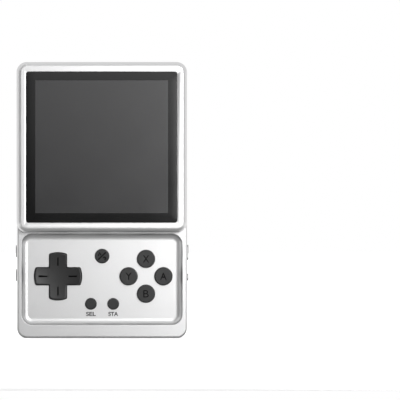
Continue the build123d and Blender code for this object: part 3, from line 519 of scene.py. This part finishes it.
# Two halves of a flat ribbon pass through the hollow shaft and carry the display's signals.
# They are amber film with copper tracks that run along it.
ribbon_finish = new_finish("amber_film", (0.5, 0.26, 0.05), 0, 0.35)
tracks = texture(ribbon_finish, "ShaderNodeTexWave", 0.5 * mm, Distortion=0).outputs["Fac"]
vary_colour(ribbon_finish, tracks, (0.45, (0.36, 0.17, 0.03)), (0.55, (0.62, 0.36, 0.1)))
raise_grain(ribbon_finish, tracks, 0.01 * mm)
dress("display_ribbon", "ribbon_of_display", ribbon_finish, "screen", "ribbon")
dress("board_ribbon", "ribbon_of_board", ribbon_finish, "body", "ribbon")


# The front shell is machined from the same aluminium. Its face has a sunk deck with sloping walls,
# in which the buttons sit, and the two words under the menu buttons are printed in dark ink.
# The deck's walls are hollowed into a cove by a ball-nosed cutter.
def cut_out(piece, cutter, finish):
    """Cuts one solid out of a piece and leaves a finish in the cut."""
    cutter.data.materials.clear()
    cutter.data.materials.append(finish)
    cut = piece.modifiers.new("Cut", "BOOLEAN")
    cut.operation = "DIFFERENCE"
    cut.solver = "EXACT"
    cut.material_mode = "TRANSFER"
    cut.object = cutter
    work_in(piece)
    bpy.data.objects.remove(cutter)
    with changes(piece.data) as work:
        bmesh.ops.dissolve_degenerate(work, dist=0.0001 * mm, edges=work.edges)


def rounded_outline(half_width, half_height, corner, depth, middle, steps=10):
    """Points round a rectangle with round corners, at one depth."""
    points = []
    for number in range(4):
        for step in range(steps + 1):
            turn = math.pi / 2 * (number + step / steps)
            side = 1 if number in (0, 3) else -1
            end = 1 if number in (0, 1) else -1
            x = side * (half_width - corner) + corner * math.cos(turn)
            z = end * (half_height - corner) + corner * math.sin(turn)
            points.append((x, depth, middle + z))
    return points


body_front, deck = -3.4 * mm, -1 * mm
recess_half_width, recess_corner = 38.8 * mm, 5.3 * mm
recess_low, recess_high = 6.3 * mm, 50.5 * mm
half_height, recess_middle = (recess_high - recess_low) / 2, (recess_high + recess_low) / 2
cove_reach, cove_gap = 3 * mm, 0.06 * mm
cove_floor = deck - 0.015 * mm
cove_steps = 12
clear_of_face = 1 * mm
cove = [(cove_gap, body_front - clear_of_face)]
for step in range(cove_steps + 1):
    turn = math.pi / 2 * step / cove_steps
    inset = cove_reach * (1 - math.cos(turn)) + cove_gap
    cove.append((inset, body_front + (cove_floor - body_front) * math.sin(turn)))
rings = [
    rounded_outline(recess_half_width - inset, half_height - inset, recess_corner - inset, depth, recess_middle)
    for inset, depth in cove
]
shell = merged_copy("front_shell", "front_shell_machined")
shell.data.materials.append(silver_finish)
cut_out(shell, solid_of_rings("cove_cutter", rings), silver_finish)
smooth(shell)
carry(shell, "body", "silver_shell", "front_shell")

ink_finish = new_finish("dark_print", (0.03, 0.03, 0.031), 0, 0.6)
speckle = noise(ink_finish, 0.12 * mm, 2)
vary_colour(ink_finish, speckle, (0.3, (0.022, 0.022, 0.023)), (0.7, (0.04, 0.04, 0.041)))


def written(name, words, width, height, bold, place, near, far):
    """Words as a solid, as read from in front, fitted to a width and height about a place."""
    curve = bpy.data.curves.new(name, "FONT")
    curve.body = words
    curve.extrude = 1
    curve.offset = bold
    curve.resolution_u = 6
    typed = put_in_scene(name, curve)
    bpy.context.view_layer.update()
    mesh = bpy.data.meshes.new_from_object(typed)
    bpy.data.objects.remove(typed)
    xs = [v.co.x for v in mesh.vertices]
    ys = [v.co.y for v in mesh.vertices]
    middle = Vector(((min(xs) + max(xs)) / 2, (min(ys) + max(ys)) / 2, 0))
    fit = Matrix.Diagonal((width / (max(xs) - min(xs)), height / (max(ys) - min(ys)), (far - near) / 2, 1))
    stand = Matrix.Rotation(math.pi / 2, 4, "X")
    put = Matrix.Translation((place[0], (near + far) / 2, place[1]))
    with changes(mesh) as work:
        bmesh.ops.remove_doubles(work, verts=work.verts, dist=0.0001)
        bmesh.ops.transform(work, matrix=put @ stand @ fit @ Matrix.Translation(-middle), verts=work.verts)
        bmesh.ops.dissolve_degenerate(work, dist=0.002 * mm, edges=work.edges)
        bmesh.ops.recalc_face_normals(work, faces=work.faces)
    mesh.materials.clear()
    return put_in_scene(name, mesh)


ink_front = deck - 0.015 * mm
word_width, word_height, word_bold = 4.75 * mm, 2.05 * mm, 0.03
word_level = 11.65 * mm
menu_reach = 5.4 * mm
for word, side in (("SEL", -1), ("STA", 1)):
    place = (side * menu_reach, word_level)
    piece = written("word_" + word.lower(), word, word_width, word_height, word_bold, place, ink_front, deck)
    piece.data.materials.append(ink_finish)
    carry(piece, "body", "button_black")


# The back cover is an aluminium plate with a sloped and rounded edge, screwed on at four points.
# It has a small slot over the speaker, and bars of the shoulder buttons show at its upper corners.
cover = dress("back_cover", "back_cover_machined", silver_finish, "body", "silver_shell")

back = 10.3 * mm
shell_seat = back - head_sink - case_screw["Head height"]
upper_screw, lower_screw = (36.15 * mm, 65.3 * mm), (35.05 * mm, 11.25 * mm)
shell_seats = [(side * across, shell_seat, up) for side in (-1, 1) for across, up in (upper_screw, lower_screw)]
paint_shade_in_wells(cover, shell_seats)
set_of_screws("shell_screws_plated", "shell_screws", shell_seats, {**case_screw, "Length": 5.5 * mm}, "body")


# The speaker is a flat black moulded box that lies against the back cover, behind its slot.
# A gauze woven from thin black wire closes the slot over it.
black_plastic_grain = 0.18 * mm


def moulded_black(name, colour, roughness, grain):
    """Black plastic with the fine even texture of an etched mould."""
    finish = new_finish(name, colour, 0, roughness)
    etched = noise(finish, grain, 3)
    raise_grain(finish, etched, 0.008 * mm, 0.5)
    vary_roughness(finish, noise(finish, 3 * mm, 2), roughness - 0.05, roughness + 0.05)
    vary_colour(finish, etched, (0.3, shade(colour, 0.85)), (0.7, shade(colour, 1.2)))
    return finish


speaker_finish = moulded_black("speaker_plastic", (0.016, 0.016, 0.016), 0.6, black_plastic_grain)
dress("speaker", "speaker_box", speaker_finish, "body", "speaker_black")


def row_of_points(tree, count, start, step):
    line = {"Count": count, "Start Location": start, "Offset": step}
    return add_step(tree, "GeometryNodeMeshLine", line, mode="OFFSET").outputs["Mesh"]


def gauze_tree():
    """Two layers of parallel wires, one across the other, that fill a width and a height."""
    tree, given = new_tree("woven_gauze", ["Width", "Height", "Pitch", "Wire"])
    layers = add_step(tree, "GeometryNodeJoinGeometry", {})
    radius = calculate(tree, "DIVIDE", given["Wire"], 2.0)
    pressed_together = 0.8
    for along, across, side in (("Width", "Height", -1), ("Height", "Width", 1)):
        free = calculate(tree, "SUBTRACT", given[across], given["Wire"])
        count = calculate(tree, "FLOOR", calculate(tree, "DIVIDE", free, given["Pitch"]), 0.0)
        span = calculate(tree, "MULTIPLY", count, given["Pitch"])
        start = calculate(tree, "MULTIPLY", span, -0.5)
        depth = calculate(tree, "MULTIPLY", radius, side * pressed_together)
        flat = along == "Width"
        first = vector(tree, 0.0, depth, start) if flat else vector(tree, start, depth, 0.0)
        step = vector(tree, 0.0, 0.0, given["Pitch"]) if flat else vector(tree, given["Pitch"], 0.0, 0.0)
        places = row_of_points(tree, calculate(tree, "ADD", count, 1.0), first, step)
        wire = cylinder(tree, 8, radius, given[along])["Mesh"]
        wires = set_on(tree, places, wire, (0, math.pi / 2, 0) if flat else (0, 0, 0))
        tree.links.new(wires, layers.inputs["Geometry"])
    finish_tree(tree, given, layers.outputs["Geometry"])
    return tree


gauze_low, gauze_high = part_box("speaker_gauze")
gauze_sizes = {
    "Width": gauze_high.x - gauze_low.x,
    "Height": gauze_high.z - gauze_low.z,
    "Pitch": 0.3 * mm,
    "Wire": 0.11 * mm,
}
gauze_finish = moulded_black("black_gauze", (0.012, 0.012, 0.012), 0.7, 0.1 * mm)
gauze = run_tree("speaker_gauze_woven", gauze_tree(), [(gauze_low + gauze_high) / 2], gauze_sizes, gauze_finish)
smooth(gauze)
carry(gauze, "body", "gauze", "speaker_gauze")


# Behind the deck a green circuit board is held by four screws, with a tin shield, a battery in foil and
# the two sockets. The shoulder buttons have small boards of their own, and black push switches sit under
# every edge button.
board_finish = new_finish("green_board", (0.012, 0.09, 0.04), 0, 0.4)
tracks = texture(board_finish, "ShaderNodeTexBrick", 1.6 * mm, (1, 0.001, 1))
tracks.inputs["Color1"].default_value = (0.01, 0.08, 0.035, 1)
tracks.inputs["Color2"].default_value = (0.014, 0.1, 0.045, 1)
tracks.inputs["Mortar"].default_value = (0.02, 0.17, 0.08, 1)
tracks.inputs["Mortar Size"].default_value = 0.03
board_finish.node_tree.links.new(tracks.outputs["Color"], shader_inputs(board_finish)["Base Color"])
raise_grain(board_finish, tracks.outputs["Fac"], 0.02 * mm)
finish_solids(board_finish, "main_board", "shoulder_boards")

tin_finish = new_finish("tin_plate", (0.55, 0.55, 0.54), 1, 0.35)
rolling = noise(tin_finish, 1.2 * mm, 3, (1, 1, 0.1))
vary_roughness(tin_finish, rolling, 0.28, 0.42)
raise_grain(tin_finish, rolling, 0.006 * mm)
dress("shield_can", "shield_can_pressed", tin_finish, "body", "socket_steel")
dress("card_socket", "card_socket_pressed", tin_finish, "body", "socket_steel")

switch_finish = moulded_black("switch_plastic", (0.02, 0.02, 0.02), 0.5, black_plastic_grain)
dress("side_switches", "side_switches_moulded", switch_finish, "body", "speaker_black")
dress("shoulder_switches", "shoulder_switches_moulded", switch_finish, "body", "speaker_black")

board_back = 4.3 * mm
upper_screw, lower_screw = (34 * mm, 49.5 * mm), (14 * mm, 7.6 * mm)
board_seats = [(side * across, board_back, up) for side in (-1, 1) for across, up in (upper_screw, lower_screw)]
board_screw = {**case_screw, "Head": 2.8 * mm, "Head height": 0.8 * mm, "Edge": 0.2 * mm, "Length": 3.1 * mm}
set_of_screws("board_screws_plated", "board_screws", board_seats, board_screw, "body")

foil_finish = new_finish("battery_foil", (0.42, 0.43, 0.45), 0.9, 0.32)
creases = texture(foil_finish, "ShaderNodeTexNoise", 5 * mm, Detail=4, Distortion=0.6).outputs["Fac"]
raise_grain(foil_finish, creases, 0.12 * mm)
vary_roughness(foil_finish, creases, 0.26, 0.4)


def soft_block(name, low, high, radius, segments):
    """A block with all its edges rounded."""
    work = bmesh.new()
    bmesh.ops.create_cube(work, size=1)
    size = high - low
    for vert in work.verts:
        vert.co = Vector(part * length for part, length in zip(vert.co, size)) + (low + high) / 2
    everything = [*work.verts, *work.edges]
    bmesh.ops.bevel(work, geom=everything, offset=radius, segments=segments, profile=0.5, affect="EDGES")
    mesh = bpy.data.meshes.new(name)
    work.to_mesh(mesh)
    work.free()
    return put_in_scene(name, mesh)


battery = soft_block("battery_pouch", *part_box("battery"), 1.2 * mm, 5)
battery.data.materials.append(foil_finish)
smooth(battery)
carry(battery, "body", "battery_wrap", "battery")

# The charging socket is a drawn steel tube with a black tongue, whose two faces carry gilt contacts.
usb_low, usb_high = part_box("usb_socket")
usb_middle = (usb_low + usb_high) / 2
usb_floor = usb_high.z - 0.4 * mm
tongue_width, tongue_wall = 6.7 * mm, 0.7 * mm
socket_finish = new_finish("drawn_steel", (0.58, 0.58, 0.58), 1, 0.28)
drawing = noise(socket_finish, 0.8 * mm, 2, (1, 1, 0.08))
vary_roughness(socket_finish, drawing, 0.22, 0.34)
raise_grain(socket_finish, drawing, 0.004 * mm)
socket = merged_copy("usb_socket", "charging_socket")
socket.data.materials.append(socket_finish)
socket.data.materials.append(switch_finish)
for face in socket.data.polygons:
    off = face.center - usb_middle
    on_tongue = abs(off.x) < tongue_width / 2 + slack and abs(off.y) < tongue_wall / 2 + slack
    face.material_index = int(on_tongue and face.center.z < usb_floor)
smooth(socket)
carry(socket, "body", "socket_steel", "usb_socket")


def contact_tree():
    """A row of flat contacts along X about each point."""
    tree, given = new_tree("contact_row", ["Count", "Pitch", "Width", "Wall", "Length"])
    last = calculate(tree, "SUBTRACT", given["Count"], 1.0)
    start = calculate(tree, "MULTIPLY", calculate(tree, "MULTIPLY", last, given["Pitch"]), -0.5)
    step = vector(tree, given["Pitch"], 0.0, 0.0)
    row = row_of_points(tree, given["Count"], vector(tree, start, 0.0, 0.0), step)
    size = vector(tree, given["Width"], given["Wall"], given["Length"])
    contact = add_step(tree, "GeometryNodeMeshCube", {"Size": size}).outputs["Mesh"]
    finish_tree(tree, given, set_on(tree, row, contact))
    return tree


contact_sizes = {"Count": 12, "Pitch": 0.5 * mm, "Width": 0.25 * mm, "Wall": 0.06 * mm, "Length": 3.5 * mm}
tongue_tip, contact_start = 0.9 * mm, 0.5 * mm
contact_level = usb_low.z + tongue_tip + contact_start + contact_sizes["Length"] / 2
contact_rows = [(0, usb_middle.y + side * tongue_wall / 2, contact_level) for side in (-1, 1)]
gilt_finish = new_finish("gilt_contact", (0.8, 0.55, 0.2), 1, 0.25)
vary_roughness(gilt_finish, noise(gilt_finish, 0.3 * mm, 2, (1, 1, 0.1)), 0.18, 0.34)
contacts = run_tree("charging_contacts", contact_tree(), contact_rows, contact_sizes, gilt_finish)
carry(contacts, "body", "socket_steel")


# Under the front buttons lie sheets of grey silicone. Each has hollow domes that give under a finger,
# and a firm plunger on each dome; a dome flattens when its button goes down.
rubbery = {"Subsurface Weight": 0.15, "Subsurface Radius": (0.6 * mm, 0.6 * mm, 0.6 * mm), "Sheen Weight": 0.15}
silicone_finish = new_finish("grey_silicone", (0.2, 0.21, 0.22), 0, 0.55, rubbery)
dust = noise(silicone_finish, 0.4 * mm, 3)
raise_grain(silicone_finish, dust, 0.006 * mm)
vary_roughness(silicone_finish, dust, 0.48, 0.62)
pad_front, pad_back = 2.7 * mm, 3.3 * mm
sheet_front = pad_front + 0.02 * mm


def pad_sheet(node, name, front=sheet_front):
    """The flat sheet of a pad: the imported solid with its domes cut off."""
    piece = merged_copy(node, name)
    with changes(piece.data) as work:
        everything = [*work.verts, *work.edges, *work.faces]
        plane = {"plane_co": (0, front, 0), "plane_no": (0, -1, 0)}
        cut = bmesh.ops.bisect_plane(work, geom=everything, dist=0.0001 * mm, clear_outer=True, **plane)
        rim = [part for part in cut["geom_cut"] if isinstance(part, bmesh.types.BMEdge)]
        bmesh.ops.triangle_fill(work, edges=rim, use_beauty=True, normal=(0, -1, 0))
    piece.data.materials.append(silicone_finish)
    smooth(piece)
    return carry(piece, "body", "silicone", node)


def turned(name, profile, centre, around=40):
    """A closed round piece about an axis along Y, from (radius, depth) pairs taken front to back."""
    return solid_of_rings(name, [circle(centre, radius, depth, around) for radius, depth in profile])


plunger_share = 0.68


def dome(name, centre, diameter, front, foot=sheet_front):
    """A hollow dome's outside with its plunger."""
    radius = diameter / 2
    height = foot - front
    edge = 0.08 * mm
    plunger = plunger_share * radius
    profile = [
        (plunger - edge, front),
        (plunger, front + edge),
        (plunger, front + 0.3 * height),
        (0.8 * radius, front + 0.5 * height),
        (0.95 * radius, front + 0.85 * height),
        (radius, foot),
    ]
    piece = turned(name, profile, centre)
    piece.data.materials.append(silicone_finish)
    smooth(piece)
    carry(piece, "body", "silicone")
    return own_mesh(piece)


pad_sheet("face_button_pad", "face_pad_sheet")
pad_sheet("menu_button_pad", "menu_pad_sheet")
# The sheet under the cross is thinner, to leave room for the cross's corners when it tilts both ways.
cross_sheet_front = sheet_front + 0.4 * mm
pad_sheet("direction_switch_pad", "direction_pad_sheet", cross_sheet_front)


# The direction pad is a black cross moulded in one piece, dished in the middle, with a line sunk in each arm.
# It rocks on a small disc over four domes.
black = (0.011, 0.011, 0.0112)
black_finish = moulded_black("button_plastic", black, 0.33, black_plastic_grain)
legend_finish = new_finish("sunk_legend", (0.002, 0.002, 0.002), 0, 0.7, {"Specular IOR Level": 0.08})
raise_grain(legend_finish, noise(legend_finish, 0.1 * mm, 2), 0.008 * mm)
cap_front = -2.95 * mm
control_level = 29.8 * mm
cross_x = -21.25 * mm
cross_reach = 11.3 * mm
dish_depth = 0.7 * mm
mark_length, mark_width, mark_depth = 4 * mm, 0.6 * mm, 0.3 * mm
mark_middle = 7.1 * mm


def dish(name, reach, depth, centre, front):
    """A round lens that hollows a cap by its depth in the middle and runs out at its reach."""
    steps, beyond = 24, 1.6
    radii = [beyond * reach * step / steps for step in range(1, steps + 1)]
    profile = [(radius, front + depth * (1 - (radius / reach) ** 2)) for radius in radii]
    rim = (radii[-1], front - 5 * mm)
    return turned(name, [*profile, rim], centre, 96)


def bar(name, low, high):
    """A plain straight cutter."""
    corners = [(low[0], low[2]), (high[0], low[2]), (high[0], high[2]), (low[0], high[2])]
    return solid_of_rings(name, [[(x, depth, z) for x, z in corners] for depth in (low[1], high[1])])


cross = merged_copy("direction_pad", "direction_cross")
cross.data.materials.append(black_finish)
cut_out(cross, dish("dish_cutter", cross_reach, dish_depth, (cross_x, control_level), cap_front), black_finish)
mark_floor = cap_front + dish_depth * (1 - (mark_middle / cross_reach) ** 2) + mark_depth
for x, z in ((1, 0), (0, 1), (-1, 0), (0, -1)):
    half_x = (abs(x) * mark_length + abs(z) * mark_width) / 2
    half_z = (abs(z) * mark_length + abs(x) * mark_width) / 2
    centre_x, centre_z = cross_x + x * mark_middle, control_level + z * mark_middle
    low = (centre_x - half_x, cap_front - clear_of_face, centre_z - half_z)
    high = (centre_x + half_x, mark_floor, centre_z + half_z)
    cut_out(cross, bar("mark_cutter", low, high), legend_finish)
smooth(cross)
carry(cross, "direction_pad", "button_black", "direction_pad")
dress("direction_pad_pivot", "direction_cross_pivot", black_finish, "direction_pivot", "button_black")

cross_dome_reach = 8.6 * mm
cross_dome = 4.4 * mm
cross_back = 2.1 * mm
tilt = math.radians(3)
play = 0.03 * mm
cross_dome_front = cross_back + plunger_share * cross_dome / 2 * math.sin(tilt) + play
for number, (x, z) in enumerate(((1, 0), (0, 1), (-1, 0), (0, -1))):
    centre = (cross_x + x * cross_dome_reach, control_level + z * cross_dome_reach)
    name = f"direction_dome_{number}"
    dome(name, centre, cross_dome, cross_dome_front, cross_sheet_front)


# The round buttons are turned from the same black plastic as the cross. Each letter is sunk in its cap,
# as is the small sign on the function button, and the sunk floor is darker and duller.
def round_button(node, name, cutters):
    piece = merged_copy(node, name)
    piece.data.materials.append(black_finish)
    for cutter in cutters:
        cut_out(piece, cutter, legend_finish)
    smooth(piece)
    return carry(piece, node, "button_black", node)


legend_depth = 0.15 * mm
letter_height = 3.5 * mm
letter_widths = {"A": 3.1 * mm, "B": 2.6 * mm, "X": 3.1 * mm, "Y": 3 * mm}
face_x = 21.2 * mm
spread = 8.4 * mm
face_diameter, function_diameter, menu_diameter = 8.55 * mm, 6.8 * mm, 5.4 * mm
dome_share = 0.6
dome_front = 1.35 * mm
for letter, x, z in (("A", 1, 0), ("B", 0, -1), ("X", 0, 1), ("Y", -1, 0)):
    centre = (face_x + x * spread, control_level + z * spread)
    node = "button_" + letter.lower()
    sunk = (cap_front - legend_depth, cap_front + legend_depth)
    cutter = written("letter_cutter", letter, letter_widths[letter], letter_height, 0, centre, *sunk)
    round_button(node, "action_" + node, [cutter])
    dome("dome_" + letter.lower(), centre, dome_share * face_diameter, dome_front)


def stroke_solid(name, points, width, centre, near, far):
    """A flat stroke with round ends along points, as seen from in front."""
    outline = []
    ends = 8
    count = len(points)
    for side, order in ((1, range(count)), (-1, range(count - 1, -1, -1))):
        for index in order:
            before = Vector(points[max(index - 1, 0)])
            after = Vector(points[min(index + 1, count - 1)])
            along = (after - before).normalized()
            square = Vector((-along.y, along.x)) * side
            outline.append(Vector(points[index]) + square * width / 2)
        tip = Vector(points[count - 1 if side > 0 else 0])
        start = math.atan2(square.y, square.x)
        for step in range(1, ends):
            turn = start - math.pi * step / ends
            outline.append(tip + Vector((math.cos(turn), math.sin(turn))) * width / 2)
    rings = [[(centre[0] + p.x, depth, centre[1] + p.y) for p in outline] for depth in (near, far)]
    return solid_of_rings(name, rings)


# The function button's sign is a slash with an arrowhead above it and a hook below, as three sunk strokes.
function_centre = (0, 39.55 * mm)
function_front = -2.3 * mm
sign_stroke = 0.6 * mm
hook_middle, hook_radius = Vector((1.15 * mm, -1.1 * mm)), 0.62 * mm
hook = [
    tuple(hook_middle + hook_radius * Vector((math.cos(turn), math.sin(turn))))
    for turn in (math.radians(150 - 27.5 * step) for step in range(9))
]
sign = [
    [(-1.75 * mm, -1.6 * mm), (1.7 * mm, 1.65 * mm)],
    [(-1.7 * mm, 0.35 * mm), (-1.15 * mm, 1.75 * mm), (-0.6 * mm, 0.6 * mm)],
    hook,
]
sunk = (function_front - legend_depth, function_front + legend_depth)
strokes = [stroke_solid("sign_cutter", points, sign_stroke, function_centre, *sunk) for points in sign]
round_button("function_button", "function_button_capped", strokes)
function_dome = dome_share * function_diameter
dome("dome_function", function_centre, function_dome, dome_front)
menu_level = 16.5 * mm
for node, side in (("select_button", -1), ("start_button", 1)):
    round_button(node, node + "_capped", [])
    centre = (side * menu_reach, menu_level)
    dome("dome_" + node, centre, dome_share * menu_diameter, dome_front)


# Four bars of the same black plastic fill the pocket round the upper corners. The inner pair slide in,
# and the outer pair wrap the corners and turn on short steel pins.
for side in ("left", "right"):
    for place in ("inner", "outer"):
        node = f"{side}_{place}_shoulder_button"
        dress(node, f"{side}_{place}_trigger", black_finish, node, "button_black")
dress("shoulder_pins", "hinge_pins", steel_finish, "body", "swivel_steel")


# The four side buttons are aluminium pills, blasted like the shell and a little darker for their anodising.
# Each slides in a slot in the shell's side and presses the switch on the board behind it.
pill_finish = blasted_aluminium("blasted_pill", shade(silver, 0.5), 0.36)
for node in ("power_button", "reset_button", "volume_up_button", "volume_down_button"):
    dress(node, node.replace("button", "pill"), pill_finish, node, "silver_shell")


# The console stands on a white table in a white room. In front of it hang black screens, with a soft lamp on
# the right and a weaker one higher up, and a grey card lies on the table. Metal and glass reflect all of them.
def rays_that_see(tree):
    """1 for rays from the camera and for those that metal and glass send out, 0 for all others."""
    rays = add_step(tree, "ShaderNodeLightPath", {}).outputs
    seen = calculate(tree, "MAXIMUM", rays["Is Camera Ray"], rays["Is Glossy Ray"])
    return calculate(tree, "MAXIMUM", seen, rays["Is Transmission Ray"])


def emptied(owner):
    """The node tree of a material or a world, with nothing in it."""
    owner.use_nodes = True
    owner.node_tree.nodes.clear()
    return owner.node_tree


def stage_sheet(name, finish, centre, across, up):
    """A flat rectangle about a centre, with its half sides as two vectors."""
    middle, right, rise = Vector(centre), Vector(across), Vector(up)
    corners = [middle - right - rise, middle + right - rise, middle + right + rise, middle - right + rise]
    mesh = bpy.data.meshes.new(name)
    mesh.from_pydata([tuple(corner) for corner in corners], [], [(0, 1, 2, 3)])
    mesh.materials.append(finish)
    sheet = put_in_scene(name, mesh)
    return sheet


white = (1, 1, 1, 1)
scene = bpy.context.scene
scene.world = bpy.data.worlds.new("white_room")
air = emptied(scene.world)
room = add_step(air, "ShaderNodeBackground", {"Color": white, "Strength": 1.0})
add_step(air, "ShaderNodeOutputWorld", {"Surface": room.outputs["Background"]})

table_finish = bpy.data.materials.new("white_table")
top = emptied(table_finish)
table_white, own_light = (0.92, 0.92, 0.92, 1), 0.38
matt = add_step(top, "ShaderNodeBsdfDiffuse", {"Color": table_white})
glow_strength = calculate(top, "MULTIPLY", rays_that_see(top), own_light)
glow = add_step(top, "ShaderNodeEmission", {"Color": white, "Strength": glow_strength})
both = add_step(top, "ShaderNodeAddShader", {0: matt.outputs["BSDF"], 1: glow.outputs["Emission"]})
add_step(top, "ShaderNodeOutputMaterial", {"Surface": both.outputs["Shader"]})

# Nearer than the screens the table stands in their shade, so that part is simply seen as white.
front_finish = bpy.data.materials.new("white_front")
plain = emptied(front_finish)
even = add_step(plain, "ShaderNodeEmission", {"Color": white, "Strength": rays_that_see(plain)})
add_step(plain, "ShaderNodeOutputMaterial", {"Surface": even.outputs["Emission"]})

screen_depth = 0.7
screen_foot = screen_depth - 0.01
table_reach = 4
for name, finish, near, far in (
    ("table_top", table_finish, -screen_foot, table_reach),
    ("table_front", front_finish, -table_reach, -screen_foot),
):
    stage_sheet(name, finish, (0, (near + far) / 2, 0), (table_reach, 0, 0), (0, (far - near) / 2, 0))


def card(name, level, centre, across, up):
    """A matt grey card, hidden from the camera, that metal and glass reflect."""
    sheet = stage_sheet(name, new_finish(name, (level, level, level), 0, 1), centre, across, up)
    sheet.visible_camera = False
    return sheet


screen_black = 0.02
card("high_screen", screen_black, (0.02, -screen_depth, 0.4), (0.38, 0, 0), (0, 0, 0.4))
card("wide_screen", screen_black, (0, -screen_foot, 0.13), (2.2, 0, 0), (0, 0, 0.13))
low_card = card("grey_low_card", 0.4, (0, -0.35, 0.0002), (0.13, 0, 0), (0, 0.35, 0))
low_card.visible_diffuse = False
low_card.visible_shadow = False


def soft_lamp(name, place, width, height, brightness):
    """A flat lamp that faces the console and is that many times as bright as white paper in the room."""
    light = bpy.data.lights.new(name, "AREA")
    light.shape = "RECTANGLE"
    light.size, light.size_y = width, height
    light.energy = brightness * math.pi * width * height
    lamp = put_in_scene(name, light)
    lamp.location = place
    lamp.rotation_euler = Vector((0, 1, 0)).to_track_quat("-Z", "Y").to_euler()
    lamp.visible_camera = False


lamp_depth = screen_depth - 0.02
soft_lamp("lamp_right", (0.2, -lamp_depth, 0.175), 0.2, 0.35, 8.8)
soft_lamp("lamp_above", (0, -lamp_depth, 0.4), 0.2, 0.6, 1.5)

camera_data = bpy.data.cameras.new("camera")
camera_side, camera_distance, camera_level = 0.04724, 2.5, 0.0666
frame_width = 0.193
camera_data.sensor_width = 36
camera_data.lens = camera_data.sensor_width * camera_distance / frame_width
camera_data.clip_start = 0.05
camera = put_in_scene("camera", camera_data)
camera.location = (camera_side, -camera_distance, camera_level)
camera.rotation_euler = (math.pi / 2, 0, 0)
scene.camera = camera
scene.view_settings.view_transform = "Standard"
